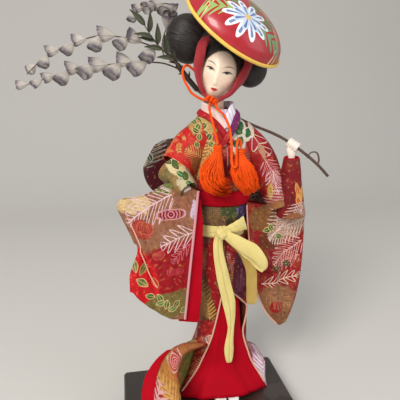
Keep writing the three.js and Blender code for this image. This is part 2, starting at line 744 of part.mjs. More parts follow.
function sleeveTube(points, size, steps, sides, across) {
  const path = curve(points);
  const outer = ringsAlong(path, size, steps, sides, across);
  const inner = ringsAlong(path, (t) => size(t).map((r) => r - CLOTH), steps, sides, across);
  return between(outer, inner, true);
}

function sleeveForm(points, size, steps, sides, across) {
  const path = curve(points);
  return loft(ringsAlong(path, (t) => size(t).map((r) => r + SEAT_GAP), steps, sides, across));
}

const RIGHT_UPPER = {
  points: [[-15, 1, SHOULDER_HEIGHT - 2], [-34, -3, SHOULDER_HEIGHT - 16], [-47, -9, SHOULDER_HEIGHT - 32]],
  size: (t) => [lerp(18, 16, t), lerp(20, 17.5, t)],
};
const RIGHT_FOREARM = {
  points: [[-54, -13, SHOULDER_HEIGHT - 34], [-47, -24, SHOULDER_HEIGHT - 42],
    [-40, -33, SHOULDER_HEIGHT - 51]],
  size: (t) => [lerp(14.5, 10, t), lerp(14.5, 9.5, t)],
};
const LEFT_UPPER = {
  points: [[16, 1, SHOULDER_HEIGHT - 4], [37, -3, SHOULDER_HEIGHT - 21], [49, -7, SHOULDER_HEIGHT - 47],
    [60, -11, SHOULDER_HEIGHT - 76]],
  size: (t) => [lerp(17, 13.5, t), lerp(18.5, 13, Math.sqrt(t))],
};
const LEFT_FOREARM = {
  points: [[72, -14, SHOULDER_HEIGHT - 86], [69, -16.5, SHOULDER_HEIGHT - 56],
    [68, -18.5, SHOULDER_HEIGHT - 25]],
  size: (t) => [lerp(14, 8.5, t), lerp(15, 8, Math.pow(t, 1.3))],
};

const NECK_ENVELOPE = figureSolid(COLLAR_HEIGHT - 32, COLLAR_HEIGHT + 6, COLLAR_TOP_OFFSET + SEAT_GAP * 2);
const SCARF_ENVELOPE = figureSolid(
  SCARF_Z - SEAT_GAP,
  SCARF_Z + OBI_SCARF_HEIGHT + SEAT_GAP,
  OBI_SCARF_THICKNESS + SEAT_GAP * 2,
);

function upperSleeve(form, armPath) {
  const sleeve = sleeveTube(form.points, form.size, 5, 12, vec(0, 1, 0));
  const armSpace = arm(armPath, SEAT_GAP);
  return largest(cut(sleeve, FIGURE_ENVELOPE, NECK_ENVELOPE, SCARF_ENVELOPE, armSpace));
}

function forearmSleeve(form, upper, armPath) {
  const sleeve = sleeveTube(form.points, form.size, 4, 12, vec(0, 1, 0));
  const upperForm = sleeveForm(upper.points, upper.size, 5, 12, vec(0, 1, 0));
  return largest(cut(sleeve, upperForm, arm(armPath, SEAT_GAP)));
}

// Lining just inside a wrist opening
function cuffLining(form, upper) {
  const path = curve(form.points);
  const thick = CLOTH * 0.8;
  const rings = (inset) => {
    const size = (t) => form.size(t).map((r) => r - CLOTH - SEAT_GAP - inset);
    return ringsAlong(path, size, 8, 12, vec(0, 1, 0)).slice(6);
  };
  const upperForm = sleeveForm(upper.points, upper.size, 5, 12, vec(0, 1, 0));
  return largest(cut(between(rings(0), rings(thick), true), upperForm));
}

// A hanging bag of cloth: front and back panels folded at one edge and open at the other.
// edge(v) gives the outline at a share of its drop, depth(u, v) its folds, gap(v) its fullness.
function hangingBag({ edge, depth, gap }) {
  const rows = 8;
  const panel = 7;
  const across = [];
  for (let j = 0; j <= panel; j += 1) across.push([j / panel, -1]);
  for (let j = panel - 1; j >= 0; j -= 1) across.push([j / panel, 1]);
  const grid = (inset) => Array.from({ length: rows + 1 }, (_, i) => {
    const v = i / rows;
    const { open, fold, y, top, bottom } = edge(v);
    const half = gap(v) / 2 - inset;
    const reach = Math.sign(fold - open) * inset;
    return across.map(([u, face]) => {
      const swell = Math.sqrt(Math.max(1 - Math.pow(u, 6), 0));
      const x = lerp(open, fold - reach, u);
      return vec(x, y + face * half * swell + depth(u, v), lerp(top(u), bottom(u), v));
    });
  });
  return between(grid(0), grid(CLOTH));
}

// Right sleeve: a stiff outer corner stands away at the elbow; a pleat runs down and inwards from it,
// and the lower part swings out again behind the pleat.
const PLEAT_DEPTH = 8;

function rightFold(v) {
  return -102 + 15 * smooth(v / 0.58) - 9 * smooth((v - 0.56) / 0.3);
}

const RIGHT_BAG = {
  edge: (v) => ({
    open: lerp(-31, -45, v),
    fold: rightFold(v),
    y: lerp(-32, -34, v),
    top: (u) => SHOULDER_HEIGHT - 58 + 15 * Math.exp(-Math.pow((u - 0.3) / 0.3, 2)),
    bottom: (u) => SHOULDER_HEIGHT - 185 + 34 * u * u,
  }),
  depth: (u, v) => {
    const crease = lerp(-104, -66, v / 0.85);
    const open = lerp(-31, -45, v);
    const behind = smooth(((crease - open) / (rightFold(v) - open) - u) / -0.2);
    return PLEAT_DEPTH * behind + 1.4 * Math.sin(u * 10 + v * 2) * smooth(v * 1.4);
  },
  gap: (v) => lerp(7, 10, Math.sin(v * Math.PI)),
};

// Left sleeve: falls from the raised forearm to a soft point
const LEFT_BAG = {
  edge: (v) => ({
    open: 27 + 15 * Math.pow(v, 1.2) + 22 * Math.pow(v, 6),
    fold: 86.5 - 14.5 * Math.pow(v, 4),
    y: lerp(-14, -9, v),
    top: (u) => SHOULDER_HEIGHT - lerp(70, 82, u),
    bottom: (u) => SHOULDER_HEIGHT - 217 + 10 * Math.pow(u - 0.5, 2),
  }),
  depth: (u, v) => 2.4 * Math.sin(u * 12.5 - v * 1.5) * (0.35 + 0.65 * smooth(v * 1.5)),
  gap: (v) => lerp(13, 8, v),
};

const BELT_ENVELOPE = figureSolid(HIP_HEIGHT, SHOULDER_HEIGHT - 20, OBI_SCARF_THICKNESS + SEAT_GAP * 2);

function sleeveBag(bag, armPath, ...neighbours) {
  const tools = neighbours.map((form) => sleeveForm(form.points, form.size, 5, 12, vec(0, 1, 0)));
  return largest(cut(hangingBag(bag), ...tools, BELT_ENVELOPE, arm(armPath, SEAT_GAP)));
}

// Red lining strip that shows past the open edge of a hanging bag, wider towards its lower end
function bagLining(bag, topWidth, bottomWidth) {
  const rows = 8;
  const thick = CLOTH * 0.8;
  const grid = (shift) => Array.from({ length: rows + 1 }, (_, i) => {
    const v = lerp(0.06, 1, i / rows);
    const width = lerp(topWidth, bottomWidth, v);
    const { open, fold, y, top, bottom } = bag.edge(v);
    const outward = Math.sign(open - fold);
    return [1, 0.5, -0.3].map((k) => {
      const u = Math.max((-width * k) / Math.abs(fold - open), 0);
      const z = lerp(top(u), bottom(u), v) - SASH_THICKNESS * Math.max(k, 0);
      return vec(open + outward * width * k, y + bag.depth(u, v) + shift * thick, z);
    });
  });
  return between(grid(-0.5), grid(0.5));
}

// Train: the padded hem roll arches off the right side of the skirt and runs forward to the board

const TRAIN_PATH = [[-20, -18, 57], [-36, -28, 63], [-49, -34, 63.5], [-59, -40, 57], [-65, -48, 45],
  [-68, -59, 30], [-69, -72, 12]];
const TRAIN_START_RADIUS = 5;
const TRAIN_END_RADIUS = 18;
const TRAIN_FLATNESS = 0.62;

function trainRadius(t) {
  return lerp(TRAIN_START_RADIUS, TRAIN_END_RADIUS, smooth(t * 1.15));
}

function trainRoll(grow = 0) {
  const size = (t) => [trainRadius(t) * TRAIN_FLATNESS + grow, trainRadius(t) + grow];
  return loft(ringsAlong(curve(TRAIN_PATH), size, 12, 12, vec(-0.35, 0.25, 0.9)));
}

const SKIRT_ENVELOPE = figureSolid(-1, WAIST_HEIGHT, SEAT_GAP);
const BELOW_BOARD = box([-300, -300, -60], [300, 300, SEAT_GAP]);

function trainPiece() {
  return largest(cut(trainRoll(), SKIRT_ENVELOPE, wallForm(SEAT_GAP), BELOW_BOARD));
}

// Cloth wall that stands behind the arch of the train roll
const WALL_FROM = -16;
const WALL_TO = -88;
const WALL_CREST = 58;

function wallForm(grow = 0) {
  const cols = 12;
  const rows = 6;
  const half = CLOTH / 2 + grow;
  const grid = (shift) => Array.from({ length: rows }, (_, i) => Array.from({ length: cols + 1 }, (__, j) => {
    const u = j / cols;
    const crest = WALL_CREST * Math.sqrt(Math.max(1 - Math.pow((u - 0.3) / 0.72, 2), 0.02)) + grow;
    const y = lerp(-8, -30, u) + 4 * Math.sin(u * 9) + shift;
    return vec(lerp(WALL_FROM, WALL_TO, u), y, lerp(SEAT_GAP - grow, Math.max(crest, 6), i / (rows - 1)));
  }));
  return between(grid(-half), grid(half));
}

function trainWall() {
  return largest(cut(wallForm(), figureSolid(-1, WAIST_HEIGHT, -CLOTH / 2), trainLiningForm(SEAT_GAP)));
}

// Red lining turned out along the outer edge of the train
function trainLiningForm(grow = 0) {
  const path = curve(TRAIN_PATH);
  const half = CLOTH / 2 + grow;
  const grid = (shift) => Array.from({ length: 13 }, (_, i) => {
    const t = lerp(0.36, 1, i / 12);
    const p = path.getPointAt(t);
    const radius = trainRadius(t);
    const reach = lerp(3, 10, smooth((t - 0.36) * 3)) + grow;
    return [-radius / 3, reach / 2, reach].map((k) => {
      const z = Math.max(p.z + radius * 0.2 - k * 0.4, SEAT_GAP * 4 - grow);
      return vec(p.x - radius * 0.86 - k * 0.8, p.y + radius * 0.3 + k * 0.55 + shift, z);
    });
  });
  return between(grid(-half), grid(half));
}

function trainLining() {
  return largest(cut(trainLiningForm(), trainRoll(SEAT_GAP), BELOW_BOARD));
}

// Head, hair and hat

const HEAD_Z = CORE_TOP + HEAD_RISE;
const HEAD_POSE = new THREE.Euler(HEAD_NOD * RAD, HEAD_ROLL * RAD, HEAD_YAW * RAD, "ZYX");
const HEAD_PLACE = new THREE.Matrix4().compose(
  vec(HEAD_X, HEAD_Y, HEAD_Z),
  new THREE.Quaternion().setFromEuler(HEAD_POSE),
  vec(1, 1, 1),
);

// Face and skull: an egg that narrows to the chin, with a small nose and brow
function headForm(grow = 0, wide = 16, high = 13) {
  const geometry = new THREE.SphereGeometry(1, wide, high);
  geometry.rotateX(Math.PI / 2);
  const position = geometry.attributes.position;
  for (let i = 0; i < position.count; i += 1) {
    const p = vec(0, 0, 0).fromBufferAttribute(position, i);
    const jaw = smooth(-p.z);
    const front = smooth(-p.y);
    const nose = Math.exp(-Math.pow(p.x / 0.16, 2) - Math.pow((p.z + 0.2) / 0.22, 2)) * front;
    const x = p.x * (HEAD_HALF_WIDTH * (1 - 0.2 * jaw) + grow);
    const y = p.y * (HEAD_HALF_DEPTH * (1 + 0.35 * jaw * front) + grow) - 2.2 * nose;
    position.setXYZ(i, x, y, p.z * (HEAD_HALF_HEIGHT + grow));
  }
  geometry.applyMatrix4(HEAD_PLACE);
  return geometry;
}

function neckForm() {
  const points = [[NECK_X, NECK_Y, CORE_TOP + SEAT_GAP], [NECK_X, NECK_Y, CORE_TOP + 14],
    [HEAD_X - 3, HEAD_Y + 1, HEAD_Z - HEAD_HALF_HEIGHT + 8]];
  return loft(ringsAlong(curve(points), (t) => [NECK_RADIUS - 0.5 * t, NECK_RADIUS - 0.5 * t], 5, 16));
}

function head() {
  const top = CORE_TOP + PEG_LENGTH * 0.3 + SEAT_GAP;
  const socket = rod(NECK_X, NECK_Y, CORE_TOP - 5, top, PEG_RADIUS + SEAT_GAP);
  return cut(join(headForm(), neckForm()), socket);
}

function neckPeg() {
  const bottom = CORE_TOP - PEG_LENGTH * 0.7 + SEAT_GAP;
  return rod(NECK_X, NECK_Y, bottom, CORE_TOP + PEG_LENGTH * 0.3, PEG_RADIUS, 20);
}

function inHead(geometry) {
  return geometry.applyMatrix4(HEAD_PLACE);
}

function capForm(grow = 0) {
  const radii = [HEAD_HALF_WIDTH, HEAD_HALF_DEPTH + 2, HEAD_HALF_HEIGHT];
  return inHead(blob([0, 3, 2], radii.map((r) => r + HAIR_THICKNESS + grow), 14, 10));
}

function wigCap() {
  const faceSize = [HEAD_HALF_WIDTH - 1, HEAD_HALF_DEPTH * 0.95, HEAD_HALF_HEIGHT - 1];
  const face = blob([0, -HEAD_HALF_DEPTH, -6], faceSize);
  const nape = box([-60, -60, -60], [60, 60, -HEAD_HALF_HEIGHT * 0.42]);
  return largest(cut(capForm(), headForm(SEAT_GAP), inHead(face), inHead(nape)));
}

const HAT_PLACE = new THREE.Matrix4().compose(
  vec(HEAD_X + HAT_X, HEAD_Y + HAT_Y, HEAD_Z + HAT_Z),
  new THREE.Quaternion().setFromEuler(new THREE.Euler(HAT_TILT * RAD, HAT_LEAN * RAD, 0, "XYZ")),
  vec(1, 1, 1),
);

function hatCurve(radius, height, steps = 5) {
  return Array.from({ length: steps + 1 }, (_, i) => {
    const angle = (i / steps) * Math.PI / 2;
    const r = radius * Math.sin(angle);
    return new THREE.Vector2(r, height * Math.pow(Math.cos(angle), 1.15));
  });
}

function lathe(points, segments = 24) {
  const geometry = new THREE.LatheGeometry([...points].reverse(), segments);
  geometry.rotateX(Math.PI / 2);
  return geometry;
}

// Lacquered papier-mache bowl
function hatShell() {
  const outer = hatCurve(HAT_RADIUS, HAT_HEIGHT);
  const inner = hatCurve(HAT_RADIUS - HAT_WALL, HAT_HEIGHT - HAT_WALL);
  return lathe([...outer, ...inner.reverse()]);
}

function hatRim() {
  const inner = HAT_RADIUS + SEAT_GAP;
  const half = RIM_HEIGHT / 2;
  const shoulder = inner + RIM_WIDTH * 0.6;
  const ring = [[inner, 0], [inner, half], [shoulder, half], [inner + RIM_WIDTH, 0], [shoulder, -half],
    [inner, -half], [inner, 0]];
  return lathe(ring.map(([r, z]) => new THREE.Vector2(r, z)));
}

// Everything under the hat's rim plane stays clear of this
function hatEnvelope() {
  const top = hatCurve(HAT_RADIUS + RIM_WIDTH + SEAT_GAP * 2, HAT_HEIGHT + 2);
  const points = [...top, new THREE.Vector2(HAT_RADIUS + RIM_WIDTH + 1, -RIM_HEIGHT * 0.5 - SEAT_GAP)];
  points.push(new THREE.Vector2(0, -RIM_HEIGHT * 0.5 - SEAT_GAP));
  return lathe(points).applyMatrix4(HAT_PLACE);
}

const PAD_RADIUS = 16;
const PAD_BOTTOM = 9;

// Cushion in the crown, tied over the top of the wig
function hatPad(grow = 0) {
  const crown = hatCurve(HAT_RADIUS - HAT_WALL - SEAT_GAP, HAT_HEIGHT - HAT_WALL - SEAT_GAP * 1.5, 14);
  const top = crown.filter((p) => p.x < PAD_RADIUS);
  const edge = top[top.length - 1].y;
  const points = [...top, new THREE.Vector2(PAD_RADIUS + grow, edge - 1.5)];
  points.push(new THREE.Vector2(PAD_RADIUS + grow, PAD_BOTTOM + 2 - grow));
  points.push(new THREE.Vector2(PAD_RADIUS - 2 + grow, PAD_BOTTOM - grow));
  points.push(new THREE.Vector2(0, PAD_BOTTOM - grow));
  return lathe(points, 14);
}

// Topknot that carries the hat
function bunForm(grow = 0) {
  return blob([0, 0, -4], [14 + grow, 14 + grow, 17 + grow], 12, 8).applyMatrix4(HAT_PLACE);
}

function topknot() {
  return largest(cut(bunForm(), capForm(SEAT_GAP), hatPad(SEAT_GAP).applyMatrix4(HAT_PLACE)));
}

const RIGHT_WING = [HEAD_X - 28.5, HEAD_Y + 14, HEAD_Z + 31.5];
const LEFT_WING = [HEAD_X + 32, HEAD_Y + 3, HEAD_Z + 4];

function wingForm(side, grow = 0) {
  const radius = side < 0 ? WING_RADIUS : SMALL_WING_RADIUS;
  const radii = [radius, radius * 0.82, radius + 1.5].map((r) => r + grow);
  return blob(side < 0 ? RIGHT_WING : LEFT_WING, radii, 16, 10);
}

function wing(side) {
  const clear = [capForm(SEAT_GAP), headForm(SEAT_GAP), hatEnvelope(), bunForm(SEAT_GAP)];
  return largest(cut(wingForm(side), ...clear));
}

// Rolled back hair over the nape
function backHair() {
  const roll = inHead(blob([0, HEAD_HALF_DEPTH + 1, -3], [15, 10, 14], 12, 8));
  return largest(cut(roll, capForm(SEAT_GAP), headForm(SEAT_GAP)));
}

// A place on the head at an angle from the face towards its left and an elevation
function onHead(turn, rise, offset) {
  const around = Math.cos(rise * RAD);
  const p = vec(
    (HEAD_HALF_WIDTH + offset) * around * Math.sin(turn * RAD),
    -(HEAD_HALF_DEPTH + offset) * around * Math.cos(turn * RAD),
    (HEAD_HALF_HEIGHT + offset) * Math.sin(rise * RAD),
  );
  return p.applyMatrix4(HEAD_PLACE);
}

const KNOT_AT = vec(HEAD_X - 10.5, HEAD_Y - 15.5, HEAD_Z - 26.5);

// Padded strap from under the hat to the knot at the chin
function strap(side, topRise) {
  const places = [[78, topRise, 7], [76, topRise * 0.55, 6.5], [72, 8, 5], [64, -16, 2.6], [48, -38, 1.2]];
  if (side > 0) places.push([16, -57, 1]); // the knot lies to the right, so this strap goes under the chin
  const points = places.map(([turn, rise, lift]) => onHead(side * turn, rise, lift + STRAP_THICKNESS / 2));
  const end = KNOT_AT.clone().add(vec(side * 3.5, 0, -side * 1.2));
  const path = new THREE.CatmullRomCurve3([...points, end], false, "centripetal");
  const size = (t) => [lerp(6, 2.4, smooth(t * 1.1)), STRAP_THICKNESS / 2];
  return loft(ringsAlong(path, size, 9, 6, vec(0.15 * side, 1, -0.1)));
}

function strapPiece(side, topRise) {
  const hair = [capForm(SEAT_GAP), wingForm(side, SEAT_GAP)];
  const clear = [headForm(SEAT_GAP), ...hair, hatEnvelope(), chinKnot(SEAT_GAP)];
  return largest(cut(strap(side, topRise), ...clear));
}

function chinKnot(grow = 0) {
  const knot = blob([0, 0, 0], [6.2 + grow, 3.4 + grow, 3.6 + grow], 10, 8);
  knot.rotateY(HEAD_ROLL * RAD);
  knot.translate(KNOT_AT.x, KNOT_AT.y, KNOT_AT.z);
  return knot;
}

function chinKnotPiece() {
  return largest(cut(chinKnot(), headForm(SEAT_GAP)));
}

// Cords: each starts just off the knot
function cordFrom(points, gap, steps) {
  return largest(cut(tube(points, CORD_RADIUS, 6, steps), chinKnot(gap)));
}

// Places from the knot, in the doll's axes
function fromKnot(dx, dy, dz) {
  return [KNOT_AT.x + dx, KNOT_AT.y + dy, KNOT_AT.z + dz];
}

function looseLoop() {
  const points = [fromKnot(0, 0, 0), fromKnot(-10, -2, 1), fromKnot(-19, -2.5, 6), fromKnot(-25, -2, 15),
    fromKnot(-28, -1, 25), fromKnot(-25, 1, 31), fromKnot(-19, 3, 30)];
  return cordFrom(points, SEAT_GAP, 12);
}

const TASSEL_Y = -CHEST_HALF_DEPTH - CLOTH - TASSEL_RADIUS - 3.2;
const RIGHT_TASSEL = [KNOT_AT.x + 1.5, TASSEL_Y, KNOT_AT.z - 40];
const LEFT_TASSEL = [KNOT_AT.x + 23.5, TASSEL_Y, KNOT_AT.z - 44];
const TASSEL_SEAT = SEAT_GAP * 2.5;

function rightTasselCord() {
  const [x, y, z] = RIGHT_TASSEL;
  const points = [fromKnot(-3, -1, 0), fromKnot(-3.2, -3, -7.4), fromKnot(-1.5, (y - KNOT_AT.y) * 0.8, -24),
    [x, y, z + TASSEL_SEAT]];
  return cordFrom(points, SWING_GAP, 10);
}

// The left cord hangs in a long bight between the tassels and comes up again to its own
function leftTasselCord() {
  const [x, y, z] = LEFT_TASSEL;
  const points = [fromKnot(3, -1, 0), fromKnot(3.6, -3, -7), fromKnot(9, -9.5, -13), fromKnot(13.4, -17, -26),
    fromKnot(14, -23, -42), fromKnot(13.6, -27.5, -56), fromKnot(15.4, -29, -60.5), fromKnot(17.2, -27, -56),
    fromKnot(18, -24.5, -45), [x - 2.6, y - 1.5, z + 8], [x, y, z + 6], [x, y, z + TASSEL_SEAT]];
  return cordFrom(points, SWING_GAP, 30);
}

// Silk tassel: bound neck, then a skirt of threads that spreads and curls to its own side
function tassel(place, sway) {
  const [x, y, z] = place;
  const path = curve([[x, y, z], [x, y, z - TASSEL_LENGTH * 0.18],
    [x + sway * 0.35, y, z - TASSEL_LENGTH / 2], [x + sway, y + 0.5, z - TASSEL_LENGTH]]);
  const size = (t) => {
    const neck = lerp(TASSEL_NECK, TASSEL_NECK * 0.9, t);
    const spread = lerp(neck, TASSEL_RADIUS, smooth((t - 0.1) / 0.45)) * (1 - 0.18 * smooth((t - 0.75) * 4));
    return [spread * 0.9, spread];
  };
  return loft(ringsAlong(path, size, 8, 10, vec(0, 1, 0)));
}

// Wisteria branch

const GRIP = vec(...LEFT_HAND);
const fromShoulder = (x, y, rise) => [x, y, SHOULDER_HEIGHT + rise];
const STEM_PATH = [fromShoulder(106, -24, -44), fromShoulder(94.5, -24, -32.5),
  fromShoulder(80, -22.5, -20.5), LEFT_HAND, fromShoulder(54.5, -4, -2), fromShoulder(42.6, 20, 4),
  fromShoulder(18, 24, 16), fromShoulder(-4, 22, 29.5), fromShoulder(-23, 14, 42), fromShoulder(-34, 5, 52)];
const BRANCH_END = vec(...fromShoulder(-45, -3, 64)); // where the stalks leave the binding
const WRAP_PATH = [fromShoulder(-23.3, 13.8, 42.2), fromShoulder(-34.4, 4.6, 52.6), BRANCH_END.toArray()];

function stemForm(grow = 0) {
  return tube(STEM_PATH, STEM_RADIUS + grow, 7, 22);
}

// Wire stem with the small tendril wound from it
function branchStem() {
  const points = [fromShoulder(94, -24, -32), fromShoulder(95, -24, -27), fromShoulder(91.5, -25, -19.5),
    fromShoulder(85, -25.5, -19.5), fromShoulder(81.5, -25, -25)];
  const tendril = tube(points, STALK_RADIUS, 5, 8);
  return join(stemForm(), tendril);
}

// Binding that gathers the stem and the flower stalks
function branchWrap() {
  return largest(cut(wrapForm(), stemForm(SEAT_GAP)));
}

// One blossom: a folded standard petal that cups over its keel
function blossom(place, size, turn) {
  const geometry = new THREE.SphereGeometry(1, 6, 4);
  const position = geometry.attributes.position;
  for (let i = 0; i < position.count; i += 1) {
    const p = vec(0, 0, 0).fromBufferAttribute(position, i);
    const pinch = 0.5 + 0.5 * smooth(0.5 - p.z / 2);
    const notch = 0.22 * Math.exp(-Math.pow(p.x / 0.3, 2)) * smooth(-p.z);
    const z = p.z * 0.85 + 0.14 * p.x * p.x + notch;
    position.setXYZ(i, p.x * pinch * size, (p.y * 0.4 * pinch - 0.25 * p.x * p.x) * size, z * size);
  }
  geometry.rotateZ(turn);
  geometry.rotateX(0.3 * Math.sin(turn * 3));
  geometry.translate(place.x, place.y, place.z);
  return geometry;
}

function wrapForm(grow = 0) {
  const radius = WRAP_RADIUS + grow;
  return loft(ringsAlong(curve(WRAP_PATH), () => [radius, radius], 6, 10));
}

// Places from the end of the binding
function fromBranchEnd(dx, dy, dz) {
  return [BRANCH_END.x + dx, BRANCH_END.y + dy, BRANCH_END.z + dz];
}

// Flower stalk with its blossoms, small towards the tip
function raceme(places, from, count, seed) {
  const points = places.map((place) => fromBranchEnd(...place));
  const path = curve(points);
  const stalk = tube(points, STALK_RADIUS, 5, 12);
  const flowers = Array.from({ length: count }, (_, i) => {
    const t = lerp(from, 0.985, i / (count - 1));
    const size = BLOSSOM_SIZE * lerp(1, 0.5, (i / (count - 1)) ** 1.6);
    const side = i % 2 === 0 ? 1 : -1;
    const place = path.getPointAt(t).add(vec(0, side * size * 0.25, side * size * 0.42));
    return blossom(place, size, seed + i * 1.7);
  });
  return largest(cut(join(stalk, ...flowers), wrapForm(SEAT_GAP)));
}

// The upper stalk goes round behind the hair and falls forward over it
function upperRaceme() {
  return raceme([[3, 2, -2.6], [-3, 5, 3], [-11, 19, 11], [-10, 36, 28], [-2, 41, 49], [-2, 35, 60],
    [-15, 29, 59], [-33, 22, 53], [-45, 19, 44]], 0.5, 7, 0.4);
}

function middleRaceme() {
  return raceme([[3.4, 0.6, -1.4], [-3, 0, 5.5], [-12, -2, 12], [-27, -4, 17], [-48, -8, 22], [-71, -11, 23],
    [-97, -14, 14], [-118, -17, 3], [-133, -19, -11]], 0.24, 10, 1.1);
}

function lowerRaceme() {
  return raceme([[2.2, 1.4, -4], [-4, 0, -1.5], [-15, -2, 1.5], [-45, -6, 1], [-75, -11, -3],
    [-105, -15, -9.5], [-122, -17, -15.5], [-143, -19, -22.5]], 0.26, 10, 2.3);
}

// Leaflets in pairs along a short twig
function leafSpray() {
  const places = [[2.4, -1.4, -3], [-3, -3.4, 3], [-13, -7, 11], [-23, -10, 21], [-32, -13, 34]];
  const twig = places.map((place) => fromBranchEnd(...place));
  const path = curve(twig);
  const stalk = tube(twig, STALK_RADIUS, 6, 5);
  const last = 6;
  const blades = Array.from({ length: last + 1 }, (_, i) => {
    const t = lerp(0.42, 1, i / last);
    const blade = blob([0, 0, 7.5], [3.2, 0.9, 9.5], 6, 4);
    blade.rotateY((i % 2 === 0 ? -1 : 1) * (i === last ? 0 : 1.05) - 0.6);
    blade.rotateZ(i * 0.3);
    const p = path.getPointAt(t);
    blade.translate(p.x, p.y - 0.4, p.z);
    return blade;
  });
  return largest(cut(join(stalk, ...blades), wrapForm(SEAT_GAP)));
}

// Hands

function palm(from, to, wide, thick) {
  const middle = from.map((value, i) => lerp(value, to[i], 0.5));
  const path = curve([from, middle, to]);
  const size = (t) => [lerp(thick * 0.8, thick, smooth(t * 2)), lerp(wide * 0.6, wide, smooth(t * 2))];
  return loft(ringsAlong(path, size, 4, 10, vec(0, 1, 0)));
}

// Left hand: a loose fist, four fingers and a thumb closed round the stem
function leftHand() {
  const tangent = curve(STEM_PATH).getTangent(3 / (STEM_PATH.length - 1));
  const wrist = [LEFT_WRIST[0], LEFT_WRIST[1], LEFT_WRIST[2] + ARM_RADIUS * 0.2];
  const base = palm(wrist, [GRIP.x, GRIP.y + 2.4, GRIP.z + 1], 5.6, 3.4);
  const around = new THREE.Matrix4().lookAt(vec(0, 0, 0), tangent, vec(0, 0, 1));
  const fingers = [-1.5, -0.5, 0.5, 1.5].map((k) => {
    const ring = new THREE.TorusGeometry(STEM_RADIUS + 2.1, 1.75, 6, 8);
    ring.applyMatrix4(around);
    const p = GRIP.clone().addScaledVector(tangent, k * 2.9);
    ring.translate(p.x, p.y, p.z);
    return ring;
  });
  const wristHole = arm(LEFT_ARM_PATH, SEAT_GAP);
  return largest(cut(join(base, ...fingers), stemForm(BORE_GAP), wristHole));
}

// Right hand: flat fingers together, kept inside the sleeve
function rightHand() {
  const [x, y, z] = RIGHT_WRIST;
  const base = palm([x + 0.5, y - 1, z - 0.5], [x + 2, y - 4.5, z - 3], 4, 2.2);
  return largest(cut(base, arm(RIGHT_ARM_PATH, SEAT_GAP)));
}

// Assembly

function material(key) {
  const [color, roughness, metalness] = COLOURS[key];
  return new THREE.MeshStandardMaterial({ color, roughness, metalness });
}

function add(group, name, geometry, key) {
  const mesh = new THREE.Mesh(geometry, material(key));
  mesh.name = name;
  group.add(mesh);
}

const model = new THREE.Group();
model.name = "wisteria_maiden_doll";
add(model, "base_board", baseBoard(), "lacquer");

const doll = new THREE.Group();
doll.position.set(DOLL_X, DOLL_Y, BASE_HEIGHT);
model.add(doll);

add(doll, "right_leg_wire", legWire(-1), "steel");
add(doll, "left_leg_wire", legWire(1), "steel");
add(doll, "right_foot", foot(-1), "tabi");
add(doll, "left_foot", foot(1), "tabi");
add(doll, "body_core", bodyCore(), "straw");
add(doll, "right_arm", armPiece(RIGHT_ARM_PATH), "straw");
add(doll, "left_arm", armPiece(LEFT_ARM_PATH), "straw");
add(doll, "right_hand", rightHand(), "skin");
add(doll, "left_hand", leftHand(), "skin");

add(doll, "under_robe", underRobe(), "red");
add(doll, "kimono_skirt", skirt(), "brocade");
add(doll, "train_roll", trainPiece(), "brocade");
add(doll, "train_lining", trainLining(), "red");
add(doll, "kimono_bodice", bodice(), "brocade");
add(doll, "kimono_collar", kimonoCollar(), "red");
add(doll, "under_collar", underCollar(), "white");
add(doll, "hip_sash", waistBand(SASH_Z, SASH_BAND_HEIGHT, SASH_THICKNESS), "sash");
add(doll, "obi", waistBand(OBI_Z, OBI_HEIGHT, OBI_THICKNESS), "obi");
add(doll, "obi_scarf", waistBand(SCARF_Z, OBI_SCARF_HEIGHT, OBI_SCARF_THICKNESS), "red");
add(doll, "obi_bow", obiBow(), "dark");
add(doll, "obi_bow_band", obiBowBand(), "dark");
add(doll, "sash_knot", sashKnot(), "sash");
add(doll, "sash_long_tail", sashLongTail(), "sash");
add(doll, "sash_short_tail", sashShortTail(), "sash");
add(doll, "sash_loop", sashLoop(), "sash");
add(doll, "sash_ear", sashEar(), "sash");

add(doll, "right_sleeve_upper", upperSleeve(RIGHT_UPPER, RIGHT_ARM_PATH), "brocade");
add(doll, "right_sleeve_forearm", forearmSleeve(RIGHT_FOREARM, RIGHT_UPPER, RIGHT_ARM_PATH), "brocade");
add(doll, "right_sleeve_bag", sleeveBag(RIGHT_BAG, RIGHT_ARM_PATH, RIGHT_FOREARM, RIGHT_UPPER), "brocade");
add(doll, "right_sleeve_lining", bagLining(RIGHT_BAG, 3, 14), "red");
add(doll, "left_sleeve_upper", upperSleeve(LEFT_UPPER, LEFT_ARM_PATH), "brocade");
add(doll, "left_sleeve_forearm", forearmSleeve(LEFT_FOREARM, LEFT_UPPER, LEFT_ARM_PATH), "brocade");
add(doll, "left_sleeve_bag", sleeveBag(LEFT_BAG, LEFT_ARM_PATH, LEFT_FOREARM, LEFT_UPPER), "brocade");
add(doll, "left_cuff_lining", cuffLining(LEFT_FOREARM, LEFT_UPPER), "red");

add(doll, "head", head(), "skin");
add(doll, "neck_peg", neckPeg(), "wood");
add(doll, "wig_cap", wigCap(), "hair");
add(doll, "wig_right_wing", wing(-1), "hair");
add(doll, "wig_left_wing", wing(1), "hair");
add(doll, "wig_topknot", topknot(), "hair");
add(doll, "wig_back_roll", backHair(), "hair");

const hat = new THREE.Group();
hat.applyMatrix4(HAT_PLACE);
doll.add(hat);
add(hat, "hat_shell", hatShell(), "redLacquer");
add(hat, "hat_rim", hatRim(), "gold");
add(hat, "hat_pad", hatPad(), "red");

add(doll, "right_strap", strapPiece(-1, 50), "red");
add(doll, "left_strap", strapPiece(1, 16), "red");
add(doll, "chin_knot", chinKnotPiece(), "orange");
add(doll, "loose_loop", looseLoop(), "orange");
add(doll, "right_tassel_cord", rightTasselCord(), "orange");
add(doll, "left_tassel_cord", leftTasselCord(), "orange");
add(doll, "right_tassel", tassel(RIGHT_TASSEL, 4), "orange");
add(doll, "left_tassel", tassel(LEFT_TASSEL, 11), "orange");

